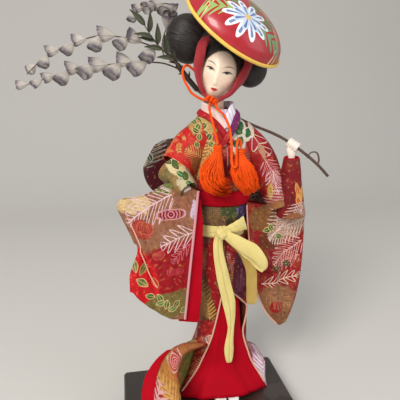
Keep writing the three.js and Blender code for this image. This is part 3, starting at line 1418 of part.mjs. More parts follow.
add(doll, "branch_stem", branchStem(), "stem");
add(doll, "branch_wrap", branchWrap(), "stem");
add(doll, "leaf_spray", leafSpray(), "leaf");
add(doll, "upper_raceme", upperRaceme(), "blossom");
add(doll, "middle_raceme", middleRaceme(), "blossom");
add(doll, "lower_raceme", lowerRaceme(), "blossom");

export default model;
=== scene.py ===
import math

import bpy
import numpy as np
from mathutils import Matrix, Vector


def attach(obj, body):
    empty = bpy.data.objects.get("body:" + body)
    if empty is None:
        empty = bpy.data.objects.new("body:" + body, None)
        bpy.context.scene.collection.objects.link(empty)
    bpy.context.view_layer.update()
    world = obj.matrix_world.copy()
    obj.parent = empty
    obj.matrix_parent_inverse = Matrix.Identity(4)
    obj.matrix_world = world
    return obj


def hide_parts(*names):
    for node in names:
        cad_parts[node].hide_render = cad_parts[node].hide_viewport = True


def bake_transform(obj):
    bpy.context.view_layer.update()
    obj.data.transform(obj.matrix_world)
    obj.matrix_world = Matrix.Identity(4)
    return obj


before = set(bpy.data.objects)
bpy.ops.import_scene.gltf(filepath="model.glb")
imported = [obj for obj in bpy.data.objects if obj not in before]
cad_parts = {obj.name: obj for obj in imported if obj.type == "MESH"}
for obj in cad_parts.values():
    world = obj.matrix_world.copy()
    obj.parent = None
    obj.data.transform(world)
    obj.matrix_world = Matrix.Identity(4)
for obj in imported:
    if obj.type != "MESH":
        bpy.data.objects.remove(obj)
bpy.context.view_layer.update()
scene = bpy.context.scene
scene.view_settings.view_transform = "Standard"

# Camera: a hand-held view from the doll's right, a little above its shoulders and looking down,
# close enough that the board's front edge and the hat's crown leave the picture.
bpy.ops.object.camera_add(
    location=(-0.0813, -0.3739, 0.3384),
    rotation=(math.radians(76.8), 0.0, math.radians(-10.5)),
)
scene.camera = bpy.context.object
scene.camera.data.lens = 37.8
scene.camera.data.sensor_width = 36.0
scene.camera.data.clip_start = 0.01


# Floor and light: a pale sweep of paper under and behind the doll, one broad soft lamp high on its
# right, a weaker one on its left, and an even grey room.
def put(tree, kind, *wires, **settings):
    """Adds a shader node; each wire is an input and the value or socket that feeds it."""
    node = tree.nodes.new("ShaderNode" + kind)
    for name, value in settings.items():
        setattr(node, name, value)
    for socket, source in wires:
        if isinstance(source, bpy.types.NodeSocket):
            tree.links.new(source, node.inputs[socket])
        else:
            node.inputs[socket].default_value = source
    return node


def tint(red, green, blue):
    """A colour as a dyer's card shows it, 0 to 255, turned to light values."""
    def light(value):
        value /= 255
        return value / 12.92 if value <= 0.04045 else ((value + 0.055) / 1.055) ** 2.4
    return (light(red), light(green), light(blue), 1.0)


bpy.ops.object.select_all(action="DESELECT")
bpy.ops.mesh.primitive_plane_add(size=1, location=(0, -0.8, -0.0004), scale=(14, 3.4, 1))
floor = bpy.context.object
floor.name = "paper_floor"
floor.scale = (14, 3.4, 1)
bpy.ops.object.transform_apply(location=True, rotation=True, scale=True)
for point in floor.data.vertices:
    point.select = point.co.y > 0
for edge in floor.data.edges:
    edge.select = all(floor.data.vertices[i].co.y > 0 for i in edge.vertices)
for face in floor.data.polygons:
    face.select = False
bpy.ops.object.mode_set(mode="EDIT")
bpy.ops.mesh.select_mode(type="EDGE")
sweep_steps, step_length = 12, 0.09  # the paper sweeps up behind the doll
for step in range(sweep_steps):
    bend = math.radians(90 * (step + 0.5) / sweep_steps)
    rise = (0, step_length * math.cos(bend), step_length * math.sin(bend))
    bpy.ops.mesh.extrude_region_move(TRANSFORM_OT_translate={"value": rise})
bpy.ops.mesh.extrude_region_move(TRANSFORM_OT_translate={"value": (0, 0, 2.0)})
bpy.ops.mesh.select_mode(type="VERT")
bpy.ops.object.mode_set(mode="OBJECT")
bpy.ops.object.shade_smooth()
paper = bpy.data.materials.new("pale_paper")
paper.use_nodes = True
shader = paper.node_tree.nodes["Principled BSDF"]
shader.inputs["Base Color"].default_value = tint(214, 211, 206)
shader.inputs["Roughness"].default_value = 0.9
floor.data.materials.append(paper)

room = bpy.data.worlds.new("grey_room")
scene.world = room
room.use_nodes = True
tree = room.node_tree
backdrop = tree.nodes["Background"]
rays = put(tree, "LightPath")
seen = put(tree, "Math", (0, rays.outputs["Is Camera Ray"]), (1, rays.outputs["Is Transmission Ray"]),
    operation="MAXIMUM")
shown = put(tree, "Mix", (0, seen.outputs[0]), (6, (0.5, 0.5, 0.5, 1)), (7, tint(222, 219, 214)),
    data_type="RGBA")
tree.links.new(shown.outputs[2], backdrop.inputs["Color"])
backdrop.inputs["Strength"].default_value = 1.0


def lamp(name, place, aim, power, size, colour):
    light = bpy.data.lights.new(name, "AREA")
    light.energy = power
    light.size = size
    light.color = colour
    body = bpy.data.objects.new(name, light)
    scene.collection.objects.link(body)
    body.location = place
    body.rotation_euler = (Vector(aim) - Vector(place)).to_track_quat("-Z", "Y").to_euler()


lamp("window_lamp", (-0.75, -1.0, 1.15), (0, 0, 0.22), 21.0, 0.6, (1.0, 0.97, 0.93))
lamp("side_lamp", (1.1, -0.7, 0.7), (0, 0, 0.2), 3.5, 0.9, (0.95, 0.97, 1.0))

# Display board: a block of softwood under several coats of black lacquer, rubbed satin, with its
# edges eased. The doll's leg wires are glued into two holes in its top.
def calc(operation, *values):
    """One sum, worked out in the tree that its first socket belongs to."""
    tree = next(value.id_data for value in values if isinstance(value, bpy.types.NodeSocket))
    return put(tree, "Math", *enumerate(values), operation=operation).outputs[0]


def times(a, b):
    return calc("MULTIPLY", a, b)


def times_plus(a, b, c):
    return calc("MULTIPLY_ADD", a, b, c)


def minus(a, b):
    return calc("SUBTRACT", a, b)


def below(value, limit):
    """1 where a value is under its limit, 0 elsewhere."""
    return calc("LESS_THAN", value, limit)


def beyond(value, limit):
    """1 where a value is over its limit, 0 elsewhere."""
    return calc("GREATER_THAN", value, limit)


def over(mask, under, top):
    """Lays one colour over another where the mask says."""
    return put(mask.id_data, "Mix", (0, mask), (6, under), (7, top), data_type="RGBA").outputs[2]


def noise(vector, scale, detail):
    return put(vector.id_data, "TexNoise", ("Vector", vector), ("Scale", scale),
        ("Detail", detail)).outputs[0]


def own_place(tree):
    return put(tree, "TexCoord").outputs["Object"]


def finish(name, **sockets):
    """A new material with its shader's plain values set; returns it, its tree and the shader."""
    material = bpy.data.materials.new(name)
    material.use_nodes = True
    shader = material.node_tree.nodes["Principled BSDF"]
    for socket, value in sockets.items():
        shader.inputs[socket.replace("_", " ")].default_value = value
    return material, material.node_tree, shader


def wear_to(shader, colour, rough, height, strength, distance):
    """Wires colour, roughness and a bump into a shader."""
    tree = shader.id_data
    tree.links.new(colour, shader.inputs["Base Color"])
    if rough is not None:
        tree.links.new(rough, shader.inputs["Roughness"])
    bump = put(tree, "Bump", ("Strength", strength), ("Distance", distance), ("Height", height))
    tree.links.new(bump.outputs[0], shader.inputs["Normal"])


lacquer, tree, shader = finish("black_lacquer", Coat_Weight=0.35, Coat_Roughness=0.22)
place = own_place(tree)
streaks = noise(put(tree, "Mapping", ("Vector", place), ("Scale", (9, 160, 160))).outputs[0], 1.0, 5.0)
smears = noise(place, 26.0, 4.0)
brown = over(streaks, tint(30, 24, 22), tint(52, 39, 34))
dusty = times(beyond(smears, 0.62), 0.12)
wear_to(
    shader, over(dusty, brown, tint(120, 108, 98)),
    times_plus(smears, 0.35, 0.2), streaks, 0.12, 0.0006,
)
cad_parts["base_board"].data.materials[0] = lacquer

# Body: straw bound hard on two leg wires, with paper-wound arm wires and a dowel for the head.
# It is hidden by the clothes, apart from a glimpse up the sleeves.
def mottled(name, dark, light, scale, detail, rough, strength, depth, **sockets):
    """A finish mottled between two colours; the same grain sets its polish and its relief."""
    material, tree, shader = finish(name, **sockets)
    place = own_place(tree)
    if not isinstance(scale, float):
        place, scale = put(tree, "Mapping", ("Vector", place), ("Scale", scale)).outputs[0], 1.0
    grain = noise(place, scale, detail)
    polish = times_plus(grain, *rough) if rough else None
    wear_to(shader, over(grain, dark, light), polish, grain, strength, depth)
    return material


straw = mottled(
    "bound_straw", tint(122, 96, 52), tint(206, 178, 112), (900, 900, 30), 3.0, None, 0.6, 0.0008,
    Roughness=0.95)
wire = mottled(
    "drawn_wire", tint(96, 94, 90), tint(158, 156, 150), 700.0, 3.0, (0.3, 0.25), 0.2, 0.0003, Metallic=1.0)
dowel = mottled(
    "plain_dowel", tint(140, 102, 62), tint(196, 158, 108), (500, 500, 40), 4.0, None, 0.3, 0.0005,
    Roughness=0.7)
for node, material in (
    ("body_core", straw), ("right_arm", straw), ("left_arm", straw), ("neck_peg", dowel),
    ("right_leg_wire", wire), ("left_leg_wire", wire),
):
    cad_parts[node].data.materials[0] = material

# Feet: carved wooden feet in white cotton split-toe socks, standing on the board under the hem.
# Each sock is two shaped halves with a seam over the instep and a cleft beside the big toe.
MM = 0.001
HEEL = np.array((0.019, 0.044, 0.025))  # where the doll's own measures start, on the board's top


def mm(points):
    """Places measured in millimetres from between the doll's heels, in the frame."""
    return np.asarray(points, float) * MM + HEEL


def settle(piece, body, slot, *nodes):
    """Names what a piece moves with and hides the solids it stands for; the slot, its finish, is not used."""
    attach(piece, body)
    if nodes:
        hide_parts(*nodes)


def take(piece):
    """Selects one piece alone and makes it the active one."""
    bpy.ops.object.select_all(action="DESELECT")
    piece.select_set(True)
    bpy.context.view_layer.objects.active = piece


def unpick(piece):
    """Clears the selection inside a mesh."""
    for part in (piece.data.vertices, piece.data.edges, piece.data.polygons):
        part.foreach_set("select", [False] * len(part))


def named(name):
    """The primitive just made, under its own name, with its scale baked in."""
    piece = bpy.context.object
    piece.name = name
    bpy.ops.object.transform_apply(location=True, rotation=True, scale=True)
    return piece


def subdivided(piece, levels):
    smooth = piece.modifiers.new("smooth", "SUBSURF")
    smooth.levels = smooth.render_levels = levels
    bpy.ops.object.modifier_apply(modifier="smooth")


def shape_up(piece, material, subdivide=0):
    """Applies subdivision, smooths and gives the material."""
    take(piece)
    bpy.ops.object.transform_apply(location=True, rotation=True, scale=True)
    if subdivide:
        subdivided(piece, subdivide)
    bpy.ops.object.shade_smooth()
    piece.data.materials.clear()
    piece.data.materials.append(material)


cotton, tree, shader = finish("white_cotton", Roughness=0.9, Sheen_Weight=0.2)
place = own_place(tree)
knit = noise(place, 1500.0, 2.0)
soil = noise(place, 60.0, 4.0)
wear_to(shader, over(soil, tint(226, 222, 214), tint(246, 244, 240)), None, knit, 0.35, 0.0004)
for side, name in ((-1, "right_foot"), (1, "left_foot")):
    bpy.ops.object.select_all(action="DESELECT")
    bpy.ops.mesh.primitive_cube_add(size=1, location=mm((side * 8, 4.5, 7.4)), scale=(0.0105, 0.0115, 0.0142))
    sock = named(name + "_sock")
    unpick(sock)
    for face in sock.data.polygons:
        if face.normal.y < -0.9:
            face.select = True
            for index in face.vertices:
                sock.data.vertices[index].select = True
    bpy.ops.object.mode_set(mode="EDIT")
    bpy.ops.mesh.select_mode(type="FACE")
    lengths = ((-1.6, 1.02, 0.82), (-1.5, 1.14, 0.76), (-0.9, 1.06, 0.8), (-0.6, 0.78, 0.75))
    for step, (drop, wide, high) in enumerate(lengths):
        forward = (-side * 0.0003, -0.0105, drop * MM)
        bpy.ops.mesh.extrude_region_move(TRANSFORM_OT_translate={"value": forward})
        middle = mm((side * (8 - 0.3 * (step + 1)), -1.2 - 10.5 * (step + 1), 0.6))
        bpy.ops.transform.resize(value=(wide, 1, high), center_override=middle)
    bpy.ops.mesh.select_all(action="SELECT")
    bpy.ops.mesh.subdivide(number_cuts=2)
    bpy.ops.object.mode_set(mode="OBJECT")
    cleft = mm((side * 5.2, -41, 0))
    for point in sock.data.vertices:
        beside = max(0.0, 1 - abs(point.co.x - cleft[0]) / 0.0016)
        ahead = max(0.0, min(1, (-0.022 + HEEL[1] - point.co.y) / 0.012))
        point.co.z -= 0.0026 * (beside * ahead) * (point.co.z - HEEL[2]) / 0.008
        point.co.z = max(point.co.z, HEEL[2] + 0.0003)
    shape_up(sock, cotton, subdivide=1)
    settle(sock, "doll", "tabi", name)

# Under-robe: plain crimson crepe, a tube of cloth sewn to the straw at the hip and flaring to a
# weighted hem that stands out over the toes. Only its front shows between the skirt's edges.
LEVELS = np.array(
    ((0, 52, 34), (35, 34.7, 24.7), (70, 26, 20), (160, 23, 19), (186, 23, 19), (258, 32, 24), (283, 35, 20),
     (301, 20, 15), (308, 15, 13)), float)  # height of the dressed figure, its half width and half depth


def ease(x):
    x = np.clip(x, 0, 1)
    return x * x * (3 - 2 * x)


def between(a, b, t):
    return a + (b - a) * t


def ring_of(count):
    """Even angles once round."""
    return np.linspace(0, 2 * math.pi, count, endpoint=False)


def figure_at(z, column):
    """The dressed figure's half width (1) or half depth (2) at a height."""
    high = LEVELS[:, 0]
    slope = np.gradient(LEVELS[:, column], high)
    z = np.clip(z, 0, 307.99)
    i = np.searchsorted(high, z, side="right") - 1
    span = high[i + 1] - high[i]
    t = (z - high[i]) / span
    bend = t * (1 - t) ** 2 * span * slope[i] + t * t * (t - 1) * span * slope[i + 1]
    return between(LEVELS[i, column], LEVELS[i + 1, column], t * t * (3 - 2 * t)) + 0.6 * bend


def on_figure(angle, z, out):
    """Places on the figure, `out` millimetres off it; the angle runs from the front to the doll's left."""
    angle, z, out = np.broadcast_arrays(*(np.asarray(value, float) for value in (angle, z, out)))
    fold = 2.2 * ease(1 - z / 95) * np.cos(6 * angle)
    lean = -5 * ease((z - 258) / 50)
    power = between(1, 0.58, ease(1 - z / 70))
    across = np.sign(np.sin(angle)) * np.abs(np.sin(angle)) ** power
    deep = np.sign(np.cos(angle)) * np.abs(np.cos(angle)) ** power
    x = lean + (figure_at(z, 1) + out + fold) * across
    return np.stack((x, -(figure_at(z, 2) + out + fold) * deep, z), -1)


def cloth(name, grid, thick=0.8, wrap=False, subdivide=1):
    """A sewn sheet through a grid of places, with thickness, and its cut lengths as a UV map."""
    grid = mm(grid)
    rows, cols = grid.shape[:2]
    ring = np.concatenate((grid, grid[:, :1]), 1) if wrap else grid
    steps = np.linalg.norm(np.diff(ring, axis=1), axis=2)
    u = np.concatenate((np.zeros((rows, 1)), np.cumsum(steps, 1)), 1)
    u = u - u[:, u.shape[1] // 2][:, None]
    drop = np.linalg.norm(np.diff(ring, axis=0), axis=2)
    v = np.concatenate((np.zeros((1, ring.shape[1])), np.cumsum(drop, 0)), 0)
    spans = cols if wrap else cols - 1
    i, j = (a.ravel() for a in np.meshgrid(np.arange(rows - 1), np.arange(spans), indexing="ij"))
    corners = ((i, j), (i, j + 1), (i + 1, j + 1), (i + 1, j))
    faces = np.stack([a * cols + b % cols for a, b in corners], 1)
    mesh = bpy.data.meshes.new(name)
    mesh.from_pydata(grid.reshape(-1, 3).tolist(), [], faces.tolist())
    lengths = mesh.uv_layers.new(name="cut")
    flat = np.stack([np.stack((u[a, b], v[a, b]), 1) for a, b in corners], 1)
    lengths.data.foreach_set("uv", flat.astype(np.float32).ravel())
    piece = bpy.data.objects.new(name, mesh)
    scene.collection.objects.link(piece)
    take(piece)
    if thick:
        wall = piece.modifiers.new("thickness", "SOLIDIFY")
        wall.thickness = thick * MM
        wall.offset = 0
        bpy.ops.object.modifier_apply(modifier="thickness")
    if subdivide:
        subdivided(piece, subdivide)
    bpy.ops.object.shade_smooth()
    return piece


def cut_size(grid, wrap=False):
    """Mean width and length of a grid of places, in metres, as the cloth was cut."""
    ring = np.concatenate((grid, grid[:, :1]), 1) if wrap else grid
    wide = np.linalg.norm(np.diff(ring, axis=1), axis=2).sum(1).mean()
    tall = np.linalg.norm(np.diff(ring, axis=0), axis=2).sum(0).mean()
    return round(wide * MM, 3), round(tall * MM, 3)


def sewn(name, grid, material, slot, nodes, thick=0.9, wrap=False, subdivide=1, body="doll"):
    """A sheet in its material, settled on its body, with the solids it stands for hidden."""
    piece = cloth(name, grid, thick, wrap, subdivide)
    piece.data.materials.append(material)
    settle(piece, body, slot, *nodes)


def effect(name, takes, gives):
    """A shared shader effect with named inputs and outputs."""
    tree = bpy.data.node_groups.new(name, "ShaderNodeTree")
    for label, kind, value in takes:
        socket = tree.interface.new_socket(label, in_out="INPUT", socket_type="NodeSocket" + kind)
        if value is not None:
            socket.default_value = value
    for label, kind in gives:
        tree.interface.new_socket(label, in_out="OUTPUT", socket_type="NodeSocket" + kind)
    return tree, tree.nodes.new("NodeGroupInput").outputs, tree.nodes.new("NodeGroupOutput").inputs


def use(tree, shared, *wires):
    return put(tree, "Group", *wires, node_tree=shared).outputs


def cut_map(tree):
    """Lengths along and across a cloth as it was cut."""
    return put(tree, "UVMap", uv_map="cut").outputs[0]


def parts(vector):
    return put(vector.id_data, "SeparateXYZ", (0, vector)).outputs


FULL_TURN = 6.2832
weave, takes, gives = effect(
    "plain_weave", (("Cut", "Vector", None), ("Threads", "Float", 1500.0)),
    (("Height", "Float"), ("Shade", "Float")))
tree = weave
scaled = put(tree, "VectorMath", (0, takes["Cut"]), ("Scale", takes["Threads"]), operation="SCALE").outputs[0]
part = parts(scaled)
warp = calc("SINE", times(part[0], FULL_TURN))
weft = calc("SINE", times(part[1], FULL_TURN))
tree.links.new(times_plus(times(warp, weft), 0.5, 0.5), gives["Height"])
slub = noise(takes["Cut"], 420.0, 3.0)
tree.links.new(slub, gives["Shade"])

crepe, tree, shader = finish("crimson_crepe", Specular_IOR_Level=0.1)
cut = cut_map(tree)
threads = use(tree, weave, ("Cut", cut), ("Threads", 1300.0))
crinkle = noise(cut, 900.0, 2.0)
broad = noise(cut, 35.0, 3.0)
dye = over(broad, tint(162, 0, 20), tint(196, 0, 32))
wear_to(
    shader, over(times(threads["Shade"], 0.25), dye, tint(126, 0, 14)),
    times_plus(crinkle, 0.25, 0.55), calc("ADD", threads["Height"], crinkle), 0.3, 0.0003,
)
angle = ring_of(160)[None, :]
share = np.linspace(0, 1, 44)[:, None]
front = np.cos(angle).clip(0, 1) ** 3
hem = 0.5 + 3.8 * np.exp(-((np.sin(angle) * 52) / 24) ** 2) * (np.cos(angle) > 0)
height = between(148.6, hem, share)
kick = 7.5 * front * np.exp(-(height / 18) ** 2)  # the hem stands out over the toes
grid = on_figure(angle, height, -2.6 + kick + 0.9 * front * np.sin(angle * 14) * share ** 1.5)
sewn("under_robe_crepe", grid, crepe, "red", ["under_robe"], 0.7, wrap=True,
    subdivide=0)

# Kimono skirt: red figured brocade, woven with gold, green and rose threads, wrapped round the hips
# and parted in front in an upturned V. A corded piping is sewn along both front edges.
motif = (("Vector", "Vector", None), ("Centre", "Vector", None), ("Size", "Vector", (0.01, 0.01, 1)),
    ("Angle", "Float", 0.0))


def laid_out(tree, takes):
    """Coordinates of one figure in the weave: its own centre, turn and size."""
    turn = put(tree, "CombineXYZ", (2, takes["Angle"])).outputs[0]
    local = put(
        tree, "Mapping", ("Vector", takes["Vector"]), ("Location", takes["Centre"]), ("Rotation", turn),
        ("Scale", takes["Size"]), vector_type="TEXTURE").outputs[0]
    part = parts(local)
    return local, part[0], part[1]


def length_of(vector):
    return put(vector.id_data, "VectorMath", (0, vector), operation="LENGTH").outputs["Value"]


def soft_step(value, low, high):
    """1 up to the low value and 0 from the high one on."""
    return put(value.id_data, "MapRange", (0, value), (1, low), (2, high), (3, 1.0), (4, 0.0)).outputs[0]


# A patch of ground colour with a ragged edge
patch, takes, gives = effect("woven_patch", motif + (("Ragged", "Float", 0.5),), (("Mask", "Float"),))
tree = patch
local = laid_out(tree, takes)[0]
rough = noise(takes["Vector"], 110.0, 3.0)
away = length_of(local)
ragged = times_plus(minus(rough, 0.5), times(takes["Ragged"], 2.0), away)
tree.links.new(soft_step(ragged, 0.92, 1.06), gives["Mask"])

# A fern or a leafy spray: pointed leaflets slanting off a curved rib, filled or in outline
fern, takes, gives = effect(
    "woven_fern",
    motif + (("Leaflets", "Float", 9.0), ("Fullness", "Float", 0.34), ("Stroke", "Float", 0.3),
        ("Line", "Float", 1.0)),
    (("Mask", "Float"),))
tree = fern
x, y = laid_out(tree, takes)[1:]
arched = minus(y, times(times(x, x), 0.16))
off = calc("ABSOLUTE", arched)
body = calc("SQRT", calc("MAXIMUM", times(x, minus(1.0, x)), 0.0))
edge = times(times(body, 2.0), takes["Fullness"])
outward = calc("DIVIDE", off, calc("MAXIMUM", edge, 0.001))
point = calc("SQRT", calc("MAXIMUM", minus(1.0, outward), 0.0))
phase = times(minus(x, times(off, 0.95)), takes["Leaflets"])
beat = calc("ABSOLUTE", minus(calc("FRACT", phase), 0.5))
reach = times(takes["Stroke"], point)
inner = minus(reach, takes["Line"])
leaflet = times(below(beat, reach), beyond(beat, inner))
rib = times(below(off, 0.014), beyond(body, 0.02))
tree.links.new(calc("MAXIMUM", leaflet, rib), gives["Mask"])

# A single pointed leaf with a line round it and a rib
leaf, takes, gives = effect("woven_leaf", motif, (("Line", "Float"), ("Fill", "Float")))
tree = leaf
x, y = laid_out(tree, takes)[1:]
edge = times(times(x, minus(1.0, x)), 4.0)
off = calc("ABSOLUTE", y)
inside = below(off, edge)
rim = beyond(off, minus(edge, 0.24))
rib = below(off, 0.07)
tree.links.new(inside, gives["Fill"])
tree.links.new(times(inside, calc("MAXIMUM", rim, rib)), gives["Line"])

# An oval badge: a ring line, and within it crescents nested round an eye
badge, takes, gives = effect("woven_badge", motif, (("Line", "Float"), ("Fill", "Float")))
tree = badge
x, y = laid_out(tree, takes)[1:]
cubes = [calc("POWER", calc("ABSOLUTE", way), 3.0) for way in (x, y)]
away = calc("POWER", calc("ADD", *cubes), 1 / 3)
rim = below(calc("ABSOLUTE", minus(away, 0.93)), 0.07)
size = parts(takes["Size"])
flat = times(y, calc("DIVIDE", size[1], size[0]))
ring = calc("SQRT", calc("ADD", times(x, x), times(flat, flat)))
beat = minus(calc("FRACT", times(ring, 5.0)), 0.5)
crescent = beyond(calc("ABSOLUTE", beat), 0.34)
core = below(away, 0.76)
tree.links.new(calc("MAXIMUM", rim, times(crescent, core)), gives["Line"])
tree.links.new(core, gives["Fill"])

# A small open flower with five petals and a heart
posy, takes, gives = effect("woven_posy", motif, (("Petals", "Float"), ("Heart", "Float")))
tree = posy
local, x, y = laid_out(tree, takes)
away = length_of(local)
turn = times(calc("ARCTAN2", y, x), 5.0)
petal = times_plus(calc("COSINE", turn), 0.26, 0.7)
tree.links.new(below(away, petal), gives["Petals"])
tree.links.new(below(away, 0.24), gives["Heart"])

# The repeat that covers the whole width: sprays, posies and badges scattered over a clouded ground
field, takes, gives = effect(
    "scattered_repeat",
    (("Cut", "Vector", None), ("Ground", "Color", tint(150, 20, 24)),
        ("Second", "Color", tint(130, 84, 48)), ("Strewn", "Float", 1.0)),
    (("Color", "Color"),))
tree = field
clouds = put(tree, "TexNoise", ("Vector", takes["Cut"]), ("Scale", 24.0), ("Detail", 3.0),
    ("Roughness", 0.55)).outputs[0]
colour = over(soft_step(clouds, 0.47, 0.43), takes["Second"], takes["Ground"])
for scale, size, leaflets, fullness, cards in (
    (40.0, 0.021, 7.0, 0.36, (tint(198, 158, 92), tint(96, 108, 52), tint(222, 164, 150), tint(206, 96, 50))),
    (62.0, 0.013, 4.0, 0.42, (tint(212, 92, 60), tint(190, 168, 104), tint(74, 92, 48), tint(226, 180, 168))),
):
    cells = put(tree, "TexVoronoi", ("Vector", takes["Cut"]), ("Scale", scale), ("Randomness", 0.9))
    lot = put(tree, "SeparateColor", (0, cells.outputs["Color"])).outputs
    turn = times(lot[0], FULL_TURN)
    back = put(tree, "VectorRotate", ("Vector", (-size * 0.5, 0, 0)), ("Angle", turn),
        rotation_type="Z_AXIS").outputs[0]
    start = put(tree, "VectorMath", (0, cells.outputs["Position"]), (1, back)).outputs[0]
    spray = use(
        tree, fern, ("Vector", takes["Cut"]), ("Centre", start), ("Size", (size, size, 1)), ("Angle", turn),
        ("Leaflets", leaflets), ("Fullness", fullness), ("Stroke", 0.31))["Mask"]
    card = cards[0]
    for level, next_card in zip((0.3, 0.55, 0.8), cards[1:]):
        card = over(beyond(lot[1], level), card, next_card)
    colour = over(times(spray, takes["Strewn"]), colour, card)
cells = put(tree, "TexVoronoi", ("Vector", takes["Cut"]), ("Scale", 76.0), ("Randomness", 1.0))
lot = put(tree, "SeparateColor", (0, cells.outputs["Color"])).outputs
flower = use(
    tree, posy, ("Vector", takes["Cut"]), ("Centre", cells.outputs["Position"]),
    ("Size", (0.0034, 0.0034, 1)),
    ("Angle", lot[0]))
some = times(beyond(lot[2], 0.5), takes["Strewn"])
colour = over(times(flower["Petals"], some), colour, tint(206, 120, 66))
colour = over(times(flower["Heart"], some), colour, tint(120, 20, 22))
tree.links.new(colour, gives["Color"])


def brocade(name, ground, second, figures, strewn=1.0, threads=1250.0, facing=(0, -1, 0)):
    """Figured silk: the scattered repeat, then the figures that fall on its front, each as
    (shape, x, z, width, height, degrees, colour, ...) in millimetres from the doll's heel."""
    material, tree, shader = finish(name, Specular_IOR_Level=0.22)
    cut = cut_map(tree)
    part = parts(own_place(tree))
    plane = put(tree, "CombineXYZ", (0, part[0]), (1, part[2])).outputs[0]
    normal = put(tree, "NewGeometry").outputs["Normal"]
    toward = put(tree, "VectorMath", (0, normal), (1, facing), operation="DOT_PRODUCT").outputs["Value"]
    outside = put(tree, "MapRange", (0, toward), (1, -0.12), (2, 0.04)).outputs[0]
    amount = put(tree, "MapRange", (0, outside), (3, 0.85), (4, strewn)).outputs[0]
    colour = use(tree, field, ("Cut", cut), ("Ground", ground), ("Second", second),
        ("Strewn", amount))["Color"]
    for shape, x, z, wide, high, degrees, shade, *more in figures:
        shared = {"patch": patch, "fern": fern, "leaf": leaf, "badge": badge, "posy": posy}[shape]
        # each figure waits for the one before it, so a long list is worked out one figure at a time
        spot = put(tree, "VectorMath", (0, colour), (1, (1e-7, 1e-7, 0)), (2, plane),
            operation="MULTIPLY_ADD").outputs[0]
        centre = mm((x, 0, z))
        values = [("Vector", spot), ("Centre", (centre[0], centre[2], 0)),
                  ("Size", (wide * MM, high * MM, 1)), ("Angle", math.radians(degrees))]
        if shape == "patch" and more:
            values.append(("Ragged", more[0]))
        if shape == "fern" and more:
            values += list(zip(("Leaflets", "Fullness", "Stroke", "Line"), more))
        drawn = use(tree, shared, *values)
        if shape in ("leaf", "badge", "posy"):
            fill, line = ("Petals", "Heart") if shape == "posy" else ("Fill", "Line")
            colour = over(times(drawn[fill], outside), colour, shade)
            colour = over(times(drawn[line], outside), colour, more[0])
        else:
            colour = over(times(drawn["Mask"], outside), colour, shade)
    flecks = noise(cut, 240.0, 2.0)
    colour = over(times(soft_step(flecks, 0.68, 0.6), 0.4), colour, tint(214, 150, 84))
    colour = over(times(soft_step(flecks, 0.34, 0.44), 0.4), colour, tint(84, 8, 14))
    laid = use(tree, weave, ("Cut", cut), ("Threads", threads))
    shaded = over(times_plus(laid["Shade"], 0.5, -0.1), colour, (0.02, 0.006, 0.004, 1))
    glint = noise(cut, 260.0, 2.0)
    luma = put(tree, "RGBToBW", (0, colour)).outputs[0]
    height = times_plus(luma, 1.4, laid["Height"])
    wear_to(shader, shaded, times_plus(glint, 0.5, 0.3), height, 0.35, 0.00035)
    return material


RED = tint(172, 22, 30)
DEEP_RED = tint(140, 10, 22)
GOLD = tint(204, 156, 84)
ROSE = tint(226, 170, 166)
PALE = tint(232, 214, 204)
skirt_silk = brocade("skirt_brocade", DEEP_RED, tint(116, 20, 26), [
    ("patch", -16, 108, 8, 30, 0, tint(104, 62, 28), 0.6),
    ("fern", -15, 84, 30, 30, 92, GOLD, 8.0, 0.3, 0.34, 1.0),
    ("fern", -18, 104, 26, 26, 96, tint(150, 110, 52), 7.0, 0.28, 0.32, 1.0),
    ("patch", -15, 74, 10, 9, 0, RED, 0.4),
    ("badge", -13, 62, 6.5, 5, 20, tint(196, 90, 70), PALE),
    ("badge", -15, 47, 5.5, 6.5, -30, tint(190, 60, 56), PALE),
    ("leaf", -12, 40, 10, 3.5, 250, tint(170, 40, 40), PALE),
    ("leaf", -18, 34, 10, 3.5, 280, tint(170, 40, 40), PALE),
    ("patch", -12, 152, 6.5, 30, -4, tint(172, 6, 24), 0.2),
    ("patch", -8.5, 110, 4, 22, 14, tint(156, 4, 22), 0.2),
    ("patch", 20, 132, 11, 34, 0, tint(86, 18, 40), 0.4),
    ("fern", 18, 112, 26, 26, 75, tint(140, 84, 108), 8.0, 0.3, 0.34, 0.14),
    ("fern", 20, 142, 24, 24, 85, tint(110, 72, 96), 7.0, 0.3, 0.34, 0.14),
    ("patch", 46, 26, 12, 26, 0, tint(206, 150, 176), 0.5),
    ("fern", 46, 4, 34, 34, 82, tint(242, 234, 242), 8.0, 0.4, 0.36, 1.0),
    ("fern", 50, 22, 24, 24, 64, tint(176, 40, 66), 6.0, 0.4, 0.32, 1.0),
    ("posy", 45, 40, 4, 4, 0, tint(150, 140, 190), PALE),
], 0.5)


def edging(name, dark, light):
    material, tree, shader = finish(name, Roughness=0.65, Sheen_Weight=0.3)
    cut = cut_map(tree)
    wound = put(tree, "TexWave", ("Vector", cut), ("Scale", 260.0), ("Distortion", 1.0),
        bands_direction="DIAGONAL").outputs[1]
    wear_to(shader, over(wound, dark, light), None, wound, 0.5, 0.0004)
    return material


piping_silk = edging("cream_piping", tint(214, 120, 92), tint(240, 204, 178))


PARTING = 128  # the height at which the skirt's edges part, in millimetres
CLOSED = 0.021  # how far each edge is from the middle above it, in radians


def opening_right(z):
    return CLOSED + math.radians(62) * np.clip((PARTING - z) / PARTING, 0, 1) ** 1.1


def opening_left(z):
    bow = math.radians(28) * np.exp(-((z - 94) / 22) ** 2)
    return CLOSED + math.radians(56) * ease((PARTING - z) / 45) + bow


